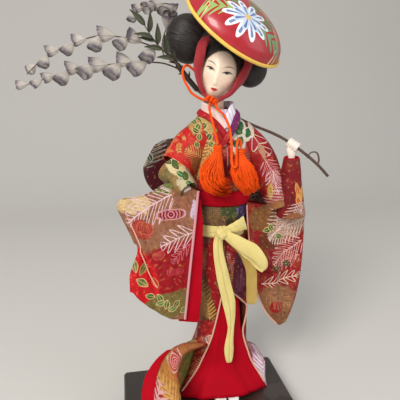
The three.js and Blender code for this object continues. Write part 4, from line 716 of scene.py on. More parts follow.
def trace(points, count):
    """Even places along a smooth line through the given ones."""
    p = np.asarray(points, float)
    knots = np.concatenate(([0], np.cumsum(np.linalg.norm(np.diff(p, axis=0), axis=1) ** 0.5)))
    ends = np.concatenate(([2 * p[0] - p[1]], p, [2 * p[-1] - p[-2]]))
    wide = np.concatenate(([-knots[1]], knots, [2 * knots[-1] - knots[-2]]))
    fine = np.linspace(0, knots[-1], 600)
    k = np.clip(np.searchsorted(knots, fine, side="right") - 1, 0, len(p) - 2)
    t0, t1, t2, t3 = (wide[k + n][:, None] for n in range(4))
    p0, p1, p2, p3 = (ends[k + n] for n in range(4))
    f = fine[:, None]
    a1 = (t1 - f) / (t1 - t0) * p0 + (f - t0) / (t1 - t0) * p1
    a2 = (t2 - f) / (t2 - t1) * p1 + (f - t1) / (t2 - t1) * p2
    a3 = (t3 - f) / (t3 - t2) * p2 + (f - t2) / (t3 - t2) * p3
    b1 = (t2 - f) / (t2 - t0) * a1 + (f - t0) / (t2 - t0) * a2
    b2 = (t3 - f) / (t3 - t1) * a2 + (f - t1) / (t3 - t1) * a3
    line = (t2 - f) / (t2 - t1) * b1 + (f - t1) / (t2 - t1) * b2
    run = np.concatenate(([0], np.cumsum(np.linalg.norm(np.diff(line, axis=0), axis=1))))
    even = np.linspace(0, run[-1], count)
    return np.stack([np.interp(even, run, line[:, c]) for c in range(3)], 1)


def unit(vectors):
    return vectors / np.linalg.norm(vectors, axis=-1, keepdims=True)


def tube(name, points, radius, sides=10, steps=40, twist=0.0, plies=0, taper=None):
    """A round cord or roll along a smooth line through places, with its lengths as a UV map."""
    line = trace(points, steps)
    heading = unit(np.gradient(line, axis=0))
    side = unit(np.cross(heading, (0.31, 0.52, 0.79)))
    other = np.cross(heading, side)
    turn = ring_of(sides)
    run = np.linspace(0, 1, len(line))
    swell = np.ones(len(line)) if taper is None else taper(run)
    ply = 1 + (0.16 * np.cos(plies * turn[None, :] + twist * run[:, None]) if plies else 0)
    reach = radius * swell[:, None] * ply
    grid = line[:, None] + reach[..., None] * (
        np.cos(turn)[None, :, None] * side[:, None] + np.sin(turn)[None, :, None] * other[:, None])
    cap = [np.repeat(line[k][None, None], sides, 1) for k in (0, -1)]
    return cloth(name, np.concatenate((cap[0], grid, cap[1]), 0), 0, wrap=True, subdivide=0)


def cording(name, points, radius, material, body, slot, nodes=(), sides=10, steps=90, **make):
    """A tube in its material, settled on its body."""
    piece = tube(name, points, radius, sides, steps, **make)
    piece.data.materials.append(material)
    settle(piece, body, slot, *nodes)
    return piece


height = np.linspace(185.6, 0.6, 66)[:, None]
share = np.linspace(0, 1, 150)[None, :]
angle = between(opening_left(height), 2 * math.pi - opening_right(height), share)
wave = 1.2 * np.sin(angle * 9 + height * 0.03) * ease(1 - height / 150)
# the left side stands out at the hem
spread = np.clip(between(52, 30, ease((height - 24) / 17)) - figure_at(height, 1), 0, 20)
spread = spread * ease((angle - 0.98) / 0.42) * ease((2.7 - angle) / 0.9)
grid = on_figure(angle, height, -0.4 + 0.5 * wave + spread)
skirt = cloth("kimono_skirt_brocade", grid, 0.9, subdivide=0)
skirt.data.materials.append(skirt_silk)
settle(skirt, "doll", "brocade", "kimono_skirt")
pipings = [
    cording("skirt_piping_" + name, grid[18:, column][::3], 1.0, piping_silk, "doll", "brocade", sides=8)
    for name, column in (("left", 0), ("right", -1))]

# Train: the skirt's right front is carried out as a cloth wall, and over it a padded hem roll of the
# same brocade arches off the skirt and comes down on the board in front. A red lining shows outside.
TRAIN = ((-20, -18, 57), (-36, -28, 63), (-49, -34, 63.5), (-59, -40, 57), (-65, -48, 45), (-68, -59, 30),
    (-69, -72, 12))
wall_silk = brocade("train_wall_brocade", tint(112, 118, 52), tint(150, 122, 62), [
    ("fern", -34, 8, 30, 30, 70, tint(196, 196, 120), 6.0, 0.35, 0.3),
    ("patch", -30, 30, 14, 16, 0, tint(128, 130, 60), 0.4),
    ("patch", -22, 44, 6, 10, 0, RED, 0.4)])
u = np.linspace(0, 1, 60)[None, :]
v = np.linspace(0.02, 1, 26)[:, None]
crest = np.maximum(58 * np.sqrt(np.maximum(1 - ((u - 0.3) / 0.72) ** 2, 0.02)), 6)
grid = np.stack(np.broadcast_arrays(
    between(-18, -88, u), between(-8, -30, u) + 4 * np.sin(u * 9) + 0.6 * np.sin(u * 30 + v * 5),
    crest * v + 0.4), -1)
sewn("train_wall_cloth", grid, wall_silk, "brocade", (), subdivide=0)

roll_silk = brocade("train_roll_brocade", tint(170, 92, 42), tint(178, 30, 34), [
    ("patch", -40, 64, 16, 8, 0, tint(176, 108, 60), 0.5),
    ("badge", -57, 62, 7.5, 6, 40, tint(188, 60, 54), ROSE),
    ("patch", -66, 46, 10, 18, 30, tint(184, 120, 52), 0.5),
    ("fern", -58, 30, 26, 26, 120, tint(208, 160, 90), 7.0, 0.4, 0.3),
    ("patch", -80, 36, 8, 12, 20, tint(176, 20, 36), 0.4),
    ("fern", -84, 18, 30, 30, 60, ROSE, 6.0, 0.42, 0.3),
    ("patch", -74, 16, 14, 10, 0, tint(182, 26, 36), 0.4),
    ("fern", -60, 4, 26, 26, 100, PALE, 6.0, 0.4, 0.3)])


def train_radius(run):
    return between(5, 18, ease(run * 1.15))


def along(line, across):
    """Two directions square to a line, the first as near as can be to `across`."""
    heading = unit(np.gradient(line, axis=0))
    across = np.asarray(across, float)
    first = unit(across - heading * (heading @ across)[:, None])
    return first, np.cross(heading, first)


line = trace(TRAIN, 70)
run = np.linspace(0, 1, len(line))
flat, wide = along(line, (-0.35, 0.25, 0.9))
turn = ring_of(48)
radius = train_radius(run) * np.sqrt(np.clip(1 - (2 * run - 1) ** 14, 0.05, 1))
pucker = 1 + 0.035 * np.sin(run[:, None] * 52 + 2 * np.sin(turn)[None, :]) + 0.02 * np.sin(3 * turn)[None, :]
ring = radius[:, None, None] * pucker[..., None] * (
    0.62 * np.cos(turn)[None, :, None] * flat[:, None] + np.sin(turn)[None, :, None] * wide[:, None])
grid = line[:, None] + ring
grid[..., 2] = np.maximum(grid[..., 2], 0.4 + 0.02 * grid[..., 2])
caps = [np.repeat(line[k][None, None], len(turn), 1) for k in (0, -1)]
caps[1][..., 2] = np.maximum(caps[1][..., 2], 1)
roll = cloth("train_roll_padded", np.concatenate((caps[0], grid, caps[1]), 0), 0, wrap=True)
roll.data.materials.append(roll_silk)
settle(roll, "doll", "brocade", "train_roll")

LINED_FROM = 0.36  # the share of the train's length after which its lining shows
run = np.linspace(LINED_FROM, 1, 40)
line = trace(TRAIN, 400)
line = line[(run * (len(line) - 1)).astype(int)]
radius = train_radius(run)
out = np.linspace(-1, 1, 9)[None, :]
reach = between(3, 10, ease((run - LINED_FROM) * 3))[:, None] * np.maximum(out, 0)
reach = reach + np.minimum(out, 0) * radius[:, None] / 3
grid = np.stack((
    line[:, :1] - radius[:, None] * 0.86 - reach * 0.8,
    line[:, 1:2] + radius[:, None] * 0.3 + reach * 0.55,
    np.maximum(line[:, 2:] + radius[:, None] * 0.2 - reach * 0.4, 1.0)), -1)
sewn("train_lining_crepe", grid, crepe, "red", ["train_lining"])

# Bodice: the kimono's upper body, of the same red brocade, crossed left over right below a V neck,
# and under it a chemise of white crepe. Collars of folded silk are sewn round both necklines.
LEAF, DARK_LEAF, STRAW_GOLD = tint(78, 112, 52), tint(34, 112, 66), tint(220, 196, 132)
bodice_silk = brocade("bodice_brocade", tint(192, 20, 28), tint(158, 66, 42), [
    ("patch", -22, 266, 11, 30, 8, tint(164, 102, 56), 0.6),
    ("fern", -12, 276, 40, 40, 238, tint(222, 172, 100), 10.0, 0.42, 0.3, 1.0),
    ("fern", -14, 254, 30, 30, 200, tint(206, 150, 84), 8.0, 0.4, 0.3, 1.0),
    ("patch", -22, 286, 10, 10, 20, tint(150, 120, 66), 0.5),
    ("patch", -17, 291, 8, 9, 30, tint(190, 160, 96), 0.7),
    ("leaf", -28, 299, 9, 3.2, 300, LEAF, STRAW_GOLD), ("leaf", -19, 294, 9, 3.4, 230, LEAF, STRAW_GOLD),
    ("leaf", -25, 286, 9, 3.2, 330, LEAF, STRAW_GOLD),
    ("leaf", -15, 284, 9, 3.2, 240, tint(60, 92, 44), STRAW_GOLD),
    ("leaf", -18, 276, 8, 3, 310, LEAF, STRAW_GOLD), ("leaf", -10, 275, 8, 3, 250, LEAF, STRAW_GOLD),
    ("patch", 13, 284, 9, 26, -6, tint(226, 220, 202), 0.4),
    ("leaf", 8, 302, 11, 4.2, 310, DARK_LEAF, tint(150, 190, 150)),
    ("leaf", 18, 294, 11, 4.2, 230, DARK_LEAF, tint(60, 80, 60)),
    ("leaf", 8, 288, 10, 4, 330, DARK_LEAF, tint(60, 80, 60)),
    ("leaf", 16, 280, 10, 4, 240, tint(60, 130, 80), tint(60, 80, 60)),
    ("leaf", 7, 277, 9, 3.6, 300, DARK_LEAF, tint(60, 80, 60)),
    ("patch", 14, 252, 20, 13, 0, tint(146, 22, 34), 0.4),
    ("fern", 10, 262, 24, 24, 320, tint(220, 160, 140), 6.0, 0.42, 0.34, 0.12)], 0.3)
height = np.concatenate((np.linspace(307.5, 280, 30), np.linspace(278, 186.6, 42)))[:, None]
share = np.linspace(0, 1, 120)[None, :]
right_edge = np.interp(height, (281, 290, 295.8, 299.5, 303.4, 307.5), (0.01, 0.18, 0.45, 0.8, 1.72, 2.0))
left_edge = np.interp(height, (271, 280.5, 289.5, 297, 303.4, 307.5), (0.02, 0.11, 0.38, 0.75, 1.3, 1.6))
angle = between(left_edge, 2 * math.pi - right_edge, share)
grid = on_figure(angle, height, -0.6 + 0.5 * np.sin(angle * 7 + height * 0.12) * ease((300 - height) / 40))
sewn("bodice_brocade_wrap", grid, bodice_silk, "brocade", ["kimono_bodice"],
    subdivide=0)

white_crepe, tree, shader = finish("white_crepe", Sheen_Weight=0.3, Specular_IOR_Level=0.3)
cut = cut_map(tree)
threads = use(tree, weave, ("Cut", cut), ("Threads", 1500.0))
washes = noise(cut, 95.0, 2.0)
crinkle = noise(cut, 1000.0, 2.0)
part = parts(own_place(tree))
lean = times_plus(part[2], 0.32, part[0])
stripes = beyond(calc("SINE", times(lean, 1500.0)), 0.72)
dye = over(washes, tint(232, 198, 186), tint(240, 222, 214))
pale = over(soft_step(washes, 0.4, 0.55), tint(240, 236, 242), tint(212, 200, 224))
pale = over(times(stripes, 0.55), pale, tint(150, 136, 178))
dye = over(put(tree, "MapRange", (0, lean), (1, 0.117), (2, 0.121)).outputs[0], dye, pale)
wear_to(shader, dye, times_plus(crinkle, 0.2, 0.6), calc("ADD", threads["Height"], crinkle), 0.3, 0.0003)
height = np.linspace(306, 252, 28)[:, None]
grid = on_figure(np.linspace(-1.15, 1.15, 44)[None, :], height, -1.1)
sewn("chemise_front", grid, white_crepe, "white", (), 0.6, subdivide=0)


def neck_band(half, inset, low, high, starts, ends, lap, count=130, across=9):
    """A folded band along the neckline, from the V round the nape and back, the left front uppermost."""
    route = starts + [(-0.18, 290), (-0.45, 295.8), (-0.8, 299.5), (-1.72, 303.2), (-2.5, 303.6),
        (-3.14, 303.6), (-3.78, 303.6), (-4.55, 303.4), (-5.0, 302.5), (-5.55, 296.5), (-5.9, 289.5)] + ends
    line = trace([(turn * 20, rise, 0) for turn, rise in route], count)
    angle, rise = line[:, 0] / 20, line[:, 1]
    radius = (figure_at(rise, 1) + figure_at(rise, 2)) / 2
    along, up = np.gradient(angle) * radius, np.gradient(rise)
    length = np.hypot(along, up)
    w = np.linspace(-1, 1, across)[None, :]
    reach = inset + w * half
    turn = (up / length)[:, None] * reach / radius[:, None]
    out = between(low, high, np.sqrt(np.clip(1 - w ** 4, 0, 1)))
    out = out + lap * ease((np.linspace(0, 1, count)[:, None] - 0.55) * 4)
    return on_figure(angle[:, None] + turn, rise[:, None] - (along / length)[:, None] * reach, out)


collar_silk = brocade("collar_silk", tint(178, 24, 40), tint(150, 20, 34), [
    ("patch", 14, 286, 12, 30, 0, tint(122, 44, 104), 0.1),
    ("patch", -16, 288, 14, 30, 0, tint(186, 26, 40), 0.1)])
for name, grid, silk, slot, node, rests in (
    ("kimono_collar_band",
     neck_band(2.5, 0.8, 0.3, 2.0, [(0.14, 274), (0, 281)], [(-6.17, 280.5), (-6.42, 270)], 0.8),
     collar_silk, "red", "kimono_collar", "bodice_brocade_wrap"),
    ("under_collar_band", neck_band(3.8, 6.4, -0.4, 1.1, [(-0.08, 286)], [(-6.0, 286)], 0.3),
     white_crepe, "white", "under_collar", "chemise_front"),
):
    collar = cloth(name, grid, 0.7, subdivide=0)
    collar.data.materials.append(silk)
    settle(collar, "doll", slot, node)
    shown = cut_size(grid.transpose(1, 0, 2))

# Obi: a stiff belt of dark green and gold brocade wound round the waist, a padded red scarf tucked
# into its top edge, and at the back a flat slanting bow of dark brocade held by a band.
def belt(name, low, high, out, bulge, material, slot, node, creases):
    height = np.linspace(high, low, 12)[:, None]
    angle = ring_of(110)[None, :]
    t = (height - low) / (high - low)
    lines = creases * np.sin(t * 16 + np.sin(angle * 3) * 1.6) * np.sin(t * math.pi)
    grid = on_figure(angle, height, out + bulge * np.sin(t * math.pi) ** 0.6 + lines)
    sewn(name, grid, material, slot, [node], wrap=True)


belt("obi_scarf_wrap", 211.0, 226.3, 1.2, 2.3, crepe, "red", "obi_scarf", 0.35)
obi_silk = brocade("obi_brocade", tint(64, 62, 34), tint(96, 78, 44), [
    ("patch", -14, 202, 9, 12, 0, tint(104, 78, 52), 0.5), ("patch", 4, 206, 10, 9, 0, tint(62, 80, 44), 0.4),
    ("posy", 14, 206, 4.5, 4.5, 0, tint(120, 116, 168), PALE),
    ("patch", 18, 202, 6, 10, 0, tint(52, 44, 92), 0.4),
    ("fern", -20, 196, 20, 20, 40, tint(150, 116, 66), 7.0, 0.4, 0.3, 0.14),
    ("posy", -2, 200, 3, 3, 0, tint(140, 100, 60), tint(90, 30, 40)),
    ("leaf", 6, 200, 8, 2.6, 30, tint(70, 92, 50), tint(150, 136, 84))], 0.35)
belt("obi_wrap", 190.4, 210.6, 1.2, 1.7, obi_silk, "obi", "obi", 0.12)

bow_silk = brocade("bow_brocade", tint(36, 30, 28), tint(62, 24, 34), [
    ("fern", -78, 246, 46, 46, 62, tint(176, 180, 166), 9.0, 0.34, 0.3, 0.12),
    ("leaf", -66, 282, 14, 4.4, 330, tint(60, 76, 52), tint(190, 194, 180)),
    ("leaf", -76, 262, 13, 4.2, 300, tint(52, 66, 46), tint(176, 182, 166)),
    ("patch", -60, 228, 17, 24, 0, tint(76, 14, 30), 0.3),
    ("fern", 30, 200, 36, 36, 60, tint(150, 140, 128), 8.0, 0.36, 0.3, 0.12)], 0.12)
slope = math.radians(29)
side = np.array((math.cos(slope), 0, -math.sin(slope)))
up = np.array((math.sin(slope), 0, math.cos(slope)))
middle = np.array((-8, 35.1, 221))
run = np.linspace(0, 1, 64)
s = np.abs(2 * run - 1)
half = between(14, 34, ease(s / 0.6)) * np.sqrt(1 - 0.85 * np.maximum((s - 0.55) / 0.45, 0) ** 2) - 0.6
deep = between(5.2, 6.6, s ** 1.4)
back = np.interp(run, (0, 0.25, 0.5, 0.75, 1), (-3, 1, 0, 1, -1))
turn = ring_of(44)
pleats = 1 + 0.14 * np.cos(turn * 6)[None, :] * ease(1 - s / 0.7)[:, None]
grid = (
    middle + (run[:, None, None] - 0.5) * 147 * side + np.cos(turn)[None, :, None] * half[:, None, None] * up
    + (back[:, None] + np.sin(turn)[None, :] * deep[:, None] * pleats)[..., None] * np.array((0, 1, 0)))
sewn("obi_bow_loops", grid, bow_silk, "dark", ["obi_bow"], 1.1, wrap=True)
turn = ring_of(48)[None, :]
t = np.linspace(-1, 1, 11)[:, None]
round_off = 1 + 0.03 * np.cos(t * 9 + turn * 3)
depth = between(9.4, 11.4, ease((np.sin(turn) + 1) / 2)) * (1 - 0.06 * t ** 4)
grid = (
    middle + t[..., None] * 7.8 * side + (20.3 * round_off * np.cos(turn))[..., None] * up
    + (depth * np.sin(turn) + 0.3)[..., None] * np.array((0, 1, 0)))
sewn("obi_bow_band_wrap", grid, bow_silk, "dark", ["obi_bow_band"],
    1.0, wrap=True)

# Sash: a long strip of pale yellow silk, folded double and stitched down its middle, wound low on
# the hips and tied in a half bow in front, with a loop, an upright ear, a long and a short tail.
def yellow_silk(name, deep, bright, stitched=0.0):
    material, tree, shader = finish(name, Sheen_Weight=0.12, Sheen_Roughness=0.4, Specular_IOR_Level=0.3)
    cut = cut_map(tree)
    threads = use(tree, weave, ("Cut", cut), ("Threads", 1600.0))
    part = parts(cut)
    washes = noise(cut, 75.0, 3.0)
    creased = put(tree, "Mapping", ("Vector", cut), ("Scale", (260, 40, 1)))
    puckers = noise(creased.outputs[0], 1.0, 3.0)
    stitch = below(calc("ABSOLUTE", part[0]), 0.00045)
    dye = over(times(stitch, 0.5 * stitched), over(washes, deep, bright), tint(150, 136, 62))
    dye = over(times(threads["Shade"], 0.25), dye, tint(186, 166, 88))
    relief = minus(threads["Height"], times(stitch, 1.5 * stitched))
    relief = calc("ADD", relief, times(puckers, 3.0))
    wear_to(shader, dye, times_plus(puckers, 0.3, 0.45), relief, 0.4, 0.0005)
    return material


sash_silk = yellow_silk("yellow_silk", tint(226, 204, 118), tint(240, 226, 158))
tail_silk = yellow_silk("yellow_silk_stitched", tint(226, 204, 118), tint(240, 226, 158), 1.0)
# the same yellow silk made darker: painted shade for the short tail, which hangs in the shade of the loop
sash_painted_shade = yellow_silk("yellow_silk_painted_shade", tint(176, 142, 70), tint(200, 168, 92))


def ribbon(name, points, width, across, node, cup=1.2, steps=70, rounded=0.0, crease=0.5, silk=sash_silk):
    """A strip of folded silk along a line of places; it cups a little and rounds off at its end."""
    line = trace(points, steps)
    run = np.linspace(0, 1, steps)
    wide, face = along(line, across)
    w = np.linspace(-1, 1, 15)[None, :]
    half = width(run) / 2
    if rounded:
        half = half * np.sqrt(np.clip(1 - np.clip((run - 1 + rounded) / rounded, 0, 1) ** 3 * 0.75, 0, 1))
    bulge = cup * (1 - w ** 2) - crease * np.exp(-(w / 0.12) ** 2) + 0.35 * np.sin(run[:, None] * 23 + w * 3)
    grid = line[:, None] + (half[:, None] * w)[..., None] * wide[:, None] + bulge[..., None] * face[:, None]
    sewn(name, grid, silk, "sash", [node], 1.0)


belt("hip_sash_wrap", 177.6, 190.2, 0.9, 1.3, sash_silk, "sash", "hip_sash", 0.3)
KNOT = np.array((-5, -26.5, 185.6))
bpy.ops.object.select_all(action="DESELECT")
bpy.ops.mesh.primitive_uv_sphere_add(segments=32, ring_count=20, radius=1, location=(0, 0, 0))
knot = bpy.context.object
knot.name = "sash_knot_fold"
knot.data.uv_layers[0].name = "cut"
for point in knot.data.vertices:
    x, y, z = point.co
    pinch = 1 + 0.08 * math.sin(6 * x + 5 * z) - 0.16 * math.exp(-((z - 0.5 * x) / 0.14) ** 2) * max(-y, 0)
    point.co = Vector(mm(KNOT + np.array((x * 6.2, y * 4.7, z * 7.4)) * pinch))
for loop in knot.data.uv_layers[0].data:
    loop.uv = (loop.uv[0] * 0.05 + 0.002, loop.uv[1] * 0.025)
shape_up(knot, sash_silk, subdivide=1)
settle(knot, "doll", "sash", "sash_knot")


def tapering(first, last):
    """A measure that changes evenly along a strip."""
    return lambda t: between(first, last, t)


def widths(places, sizes):
    """A measure that passes through the given sizes at the given places along a strip."""
    return lambda t: np.interp(t, places, sizes)


def down_skirt(dx, dy, drop):
    """A place on the skirt's front, below the knot."""
    x, top, clear = -3, 188, 4.7
    z = top - drop
    return x + dx, dy - float(figure_at(np.asarray(float(z)), 2) + clear), z


long_line = [KNOT + (0, -2, 0)]
for dx, drop in ((-5, 9), (-5.5, 22), (0.5, 54), (7, 83), (9, 106), (7, 130), (6.5, 148.5)):
    long_line.append(down_skirt(dx, -0.6, drop))
long_width = widths((0, 0.15, 0.34, 0.55, 0.66, 0.73, 0.8, 0.9, 1),
    (8.5, 10.5, 13.5, 14, 10, 6.6, 7.4, 10.6, 9.6))
ribbon("sash_long_tail_strip", long_line, long_width, (1, 0, 0), "sash_long_tail",
       cup=1.4, rounded=0.14, crease=1.1, silk=tail_silk)
short_line = [KNOT + (2, 1, -3)]
for place in ((21, 0, 26), (30, 1, 45), (32, 2, 66), (32.5, 2, 86)):
    short_line.append(down_skirt(*place))
# the short tail takes the darker silk, which is painted shade
ribbon("sash_short_tail_strip", short_line, lambda t: between(8, 11.5, ease(t * 2)), (1, -0.5, 0.2),
       "sash_short_tail", rounded=0.06, crease=0.0, silk=sash_painted_shade)
loop_line = [KNOT + at for at in ((3, -1, -2), (17, -4.5, -11), (31, -7.5, -20), (40, -8.5, -31),
    (43, -6, -40), (38, -3.6, -36), (30, -3, -25), (16, -1.6, -14))]
loop_width = widths((0, 0.14, 0.32, 0.5, 0.58, 0.66, 0.85, 1), (9, 13.5, 16, 11, 7, 9.5, 14, 9))
ribbon("sash_loop_fold", loop_line, loop_width, (0.6, -0.2, 0.75), "sash_loop", cup=1.2, steps=90, crease=0.0)
ribbon("sash_ear_fold", [KNOT + at for at in ((2, 0, 2), (9, -2, 4.5), (16, -2.4, 7), (23, -1.4, 9.5))],
       tapering(6, 17), (-0.05, -0.2, 1), "sash_ear", crease=0.3)

# Sleeves: each is a tube over the wired arm, folded back at the elbow, from which a long flat bag of
# brocade hangs, lined with red crepe. The right bag is caught up in a standing pleat.
def roll(name, points, wide, deep, material, slot, node, across=(0, 1, 0), wrinkle=0.5, steps=44,
         rests="right_arm", body="doll"):
    """A cloth tube round an arm, with soft folds running round it."""
    line = trace(points, steps)
    run = np.linspace(0, 1, steps)
    a, b = along(line, across)
    turn = ring_of(60)[None, :]
    down = run[:, None]
    folds = np.sin(down * 17 + np.sin(turn * 2) * 1.5) * 0.03 + np.sin(turn * 5 + down * 4) * 0.02
    folds = 1 + wrinkle * folds
    grid = (line[:, None] + (np.cos(turn) * wide(run)[:, None] * folds)[..., None] * a[:, None]
            + (np.sin(turn) * deep(run)[:, None] * folds)[..., None] * b[:, None])
    sewn(name, grid, material, slot, [node], wrap=True, body=body)


ORANGE, DARK_RED = tint(230, 140, 70), tint(126, 14, 24)
right_silk = brocade("right_sleeve_brocade", tint(206, 26, 30), tint(190, 30, 30), [
    ("posy", -45, 291, 2.8, 2.8, 0, ORANGE, GOLD), ("posy", -53, 281, 3.0, 3.0, 20, ORANGE, GOLD),
    ("posy", -41, 279, 2.6, 2.6, 10, GOLD, ORANGE),
    ("posy", -60, 271, 2.8, 2.8, 0, ORANGE, DARK_RED), ("posy", -47, 268, 3.0, 3.0, 30, GOLD, DARK_RED),
    ("posy", -36, 266, 2.4, 2.4, 15, ORANGE, GOLD),
    ("posy", -54, 258, 2.6, 2.6, 5, ORANGE, GOLD), ("posy", -32, 287, 2.4, 2.4, 5, ORANGE, GOLD),
    ("leaf", -49, 286, 7, 2.2, 310, tint(206, 112, 58), GOLD),
    ("leaf", -44, 274, 7, 2.2, 220, tint(206, 112, 58), GOLD),
    ("fern", -60, 262, 34, 34, 52, tint(214, 116, 66), 3.0, 0.12, 0.2, 1.0),
    ("fern", -22, 258, 22, 22, 140, tint(206, 160, 96), 8.0, 0.42, 0.3, 1.0),
    ("patch", -26, 254, 9, 9, 30, tint(160, 98, 54), 0.6),
    ("patch", -29, 291, 6, 9, 20, tint(186, 150, 88), 0.8),
    ("leaf", -32, 298, 8, 2.8, 300, LEAF, STRAW_GOLD), ("leaf", -25, 293, 8, 3, 240, LEAF, STRAW_GOLD),
    ("leaf", -33, 288, 8, 2.8, 330, tint(60, 92, 44), STRAW_GOLD),
    ("leaf", -26, 284, 8, 2.8, 260, LEAF, STRAW_GOLD), ("leaf", -30, 277, 8, 2.8, 280, LEAF, STRAW_GOLD)],
        0.15)
roll("right_sleeve_upper_roll", [(-15, 1, 281), (-34, -3, 267), (-47, -9, 251)],
     tapering(17.6, 15.6), tapering(19.6, 17.0), right_silk, "brocade", "right_sleeve_upper")
forearm_silk = brocade("right_forearm_brocade", tint(156, 118, 70), tint(122, 110, 66), [
    ("patch", -50, 254, 12, 8, -40, tint(220, 200, 150), 0.5),
    ("patch", -40, 242, 9, 12, -40, tint(196, 186, 150), 0.5),
    ("leaf", -62, 262, 9, 3.0, 320, tint(90, 104, 50), tint(54, 58, 34)),
    ("leaf", -54, 260, 10, 3.2, 300, LEAF, tint(54, 58, 34)),
    ("leaf", -52, 250, 10, 3.2, 330, DARK_LEAF, tint(210, 196, 140)),
    ("leaf", -44, 250, 9, 3.0, 280, LEAF, tint(54, 58, 34)),
    ("leaf", -44, 242, 10, 3.2, 320, DARK_LEAF, tint(210, 196, 140)),
    ("leaf", -37, 238, 9, 3.0, 260, LEAF, STRAW_GOLD),
    ("posy", -47, 256, 2.6, 2.6, 0, GOLD, ORANGE)], 0.3)
roll("right_sleeve_forearm_roll", [(-54, -13, 249), (-47, -24, 241), (-40, -33, 232)],
     tapering(14.2, 9.8), tapering(14.2, 9.3), forearm_silk, "brocade", "right_sleeve_forearm")


def bag(name, face, gap, material, node, across=56, down=72):
    """A flat hanging sleeve: one cloth folded round its outer edge, open along the other."""
    u = np.concatenate((np.linspace(0, 1, across), np.full(7, 1.0), np.linspace(1, 0, across)))
    back = np.concatenate((np.zeros(across), np.linspace(0, 1, 9)[1:-1], np.ones(across)))
    v = np.linspace(0, 1, down)[:, None]
    grid = face(u[None, :] + 0 * v, v + 0 * u[None, :])
    round_fold = np.sin(back * math.pi)[None, :] * 2.2
    grid[..., 1] += back[None, :] * gap(v) * np.minimum(1, 0.35 + 2.2 * (1 - np.abs(2 * u - 1)[None, :] ** 4))
    grid[..., 0] += np.sign(grid[:, across - 1:across, 0] - grid[:, :1, 0]) * round_fold
    sewn(name, grid, material, "brocade", [node])


def right_face(u, v):
    """Front of the right bag; its outer part is folded behind a slanting standing pleat."""
    open_edge = between(-31.0, -45.0, v)
    fold = -102 + 15 * ease(v / 0.58) - 9 * ease((v - 0.56) / 0.3)
    crease = -104 + 38 * np.clip(v / 0.85, 0, 1)
    strength = ease(v / 0.1) * ease((0.86 - v) / 0.2)
    x = between(open_edge, fold, u)
    low = 98 + 34 * u ** 2
    high = 225 + 15 * np.exp(-((u - 0.3) / 0.3) ** 2)
    step = (crease - x) / 4.5
    behind = ease((step + 1) / 2) * strength
    curl = np.exp(-(step / 0.9) ** 2) * strength
    x = x - 5.0 * strength * np.exp(-((x - crease - 2) / 9) ** 2) * (x > crease - 6)
    y = between(-32.0, -34.0, v) + 8 * behind - 1.8 * curl
    y = y + 1.4 * np.sin(10 * u + 2 * v) * ease(1.4 * v) + 0.5 * np.sin(31 * u + 9 * v) * ease(3 * u)
    return np.stack((x, y, between(high, low, v)), -1)


bag_silk = brocade("right_bag_brocade", tint(152, 100, 74), tint(160, 110, 86), [
    ("patch", -95, 223, 20, 12, -20, tint(222, 192, 140), 0.6),
    ("patch", -62, 237, 30, 6, 8, tint(116, 122, 68), 0.6),
    ("leaf", -76, 237, 9, 2.8, 15, LEAF, STRAW_GOLD),
    ("leaf", -56, 232, 10, 3.0, 190, DARK_LEAF, STRAW_GOLD),
    ("leaf", -52, 239, 9, 2.8, -12, LEAF, STRAW_GOLD),
    ("fern", -56, 228, 50, 50, 203, tint(236, 200, 206), 6.0, 0.4, 0.4, 0.13),
    ("patch", -34, 212, 4, 10, 0, tint(214, 196, 214), 0.7),
    ("badge", -57, 208.5, 14.5, 5.2, 3, tint(142, 28, 44), tint(230, 158, 168)),
    ("patch", -86, 195, 12, 10, -20, tint(178, 66, 50), 0.9),
    ("badge", -82, 196, 8.5, 6, -20, tint(166, 50, 42), tint(196, 96, 74)),
    ("patch", -48, 146, 56, 36, 17, tint(156, 4, 20), 0.12),
    ("patch", -94, 140, 24, 40, 10, tint(208, 14, 26), 0.1),
    ("fern", -32, 190, 38, 38, 192, tint(240, 204, 208), 4.0, 0.34, 0.4, 0.13),
    ("fern", -38, 178, 26, 26, 214, tint(216, 120, 130), 4.0, 0.3, 0.4, 0.13),
    ("badge", -54, 150.6, 8.5, 3.4, 0, tint(172, 30, 42), tint(196, 66, 78)),
    ("badge", -70, 168, 6, 4, 20, tint(172, 40, 42), tint(196, 84, 74)),
    ("leaf", -94, 164, 13, 3.4, 280, tint(112, 128, 60), tint(230, 190, 130)),
    ("leaf", -80, 160, 15, 3.6, 235, tint(104, 124, 56), tint(226, 150, 100)),
    ("leaf", -92, 146, 15, 3.6, 320, tint(108, 128, 60), tint(230, 190, 130)),
    ("leaf", -76, 146, 13, 3.2, 290, tint(206, 60, 44), tint(226, 150, 100)),
    ("patch", -62, 115, 34, 13, 16, tint(122, 106, 56), 0.6),
    ("leaf", -84, 128, 11, 3.2, 340, LEAF, STRAW_GOLD), ("leaf", -72, 128, 11, 3.2, 300, LEAF, STRAW_GOLD),
    ("leaf", -74, 116, 11, 3.2, 20, tint(96, 132, 74), STRAW_GOLD),
    ("leaf", -62, 122, 11, 3.2, 260, LEAF, STRAW_GOLD),
    ("leaf", -62, 110, 11, 3.2, 20, tint(96, 132, 74), STRAW_GOLD),
    ("leaf", -50, 120, 10, 3.0, 230, tint(86, 96, 46), STRAW_GOLD),
    ("leaf", -50, 106, 10, 3.0, 30, LEAF, STRAW_GOLD)], 0.1)
bag("right_sleeve_bag_cloth", right_face, lambda v: between(7.0, 10.0, np.sin(v * math.pi)), bag_silk,
    "right_sleeve_bag", 72, 80)
edge = [right_face(np.array(0.0), np.array(t)) + (0.4, -0.9, 0) for t in np.linspace(0.0, 1, 14)]
rose_silk = edging("rose_piping", tint(190, 104, 116), tint(226, 172, 180))
cording("right_bag_piping", edge, 1.25, rose_silk, "doll", "white")
# a thin cream cord along the pleat's fold edge, standing for the highlight that the fold catches: painted
# light made as a cord
edge = []
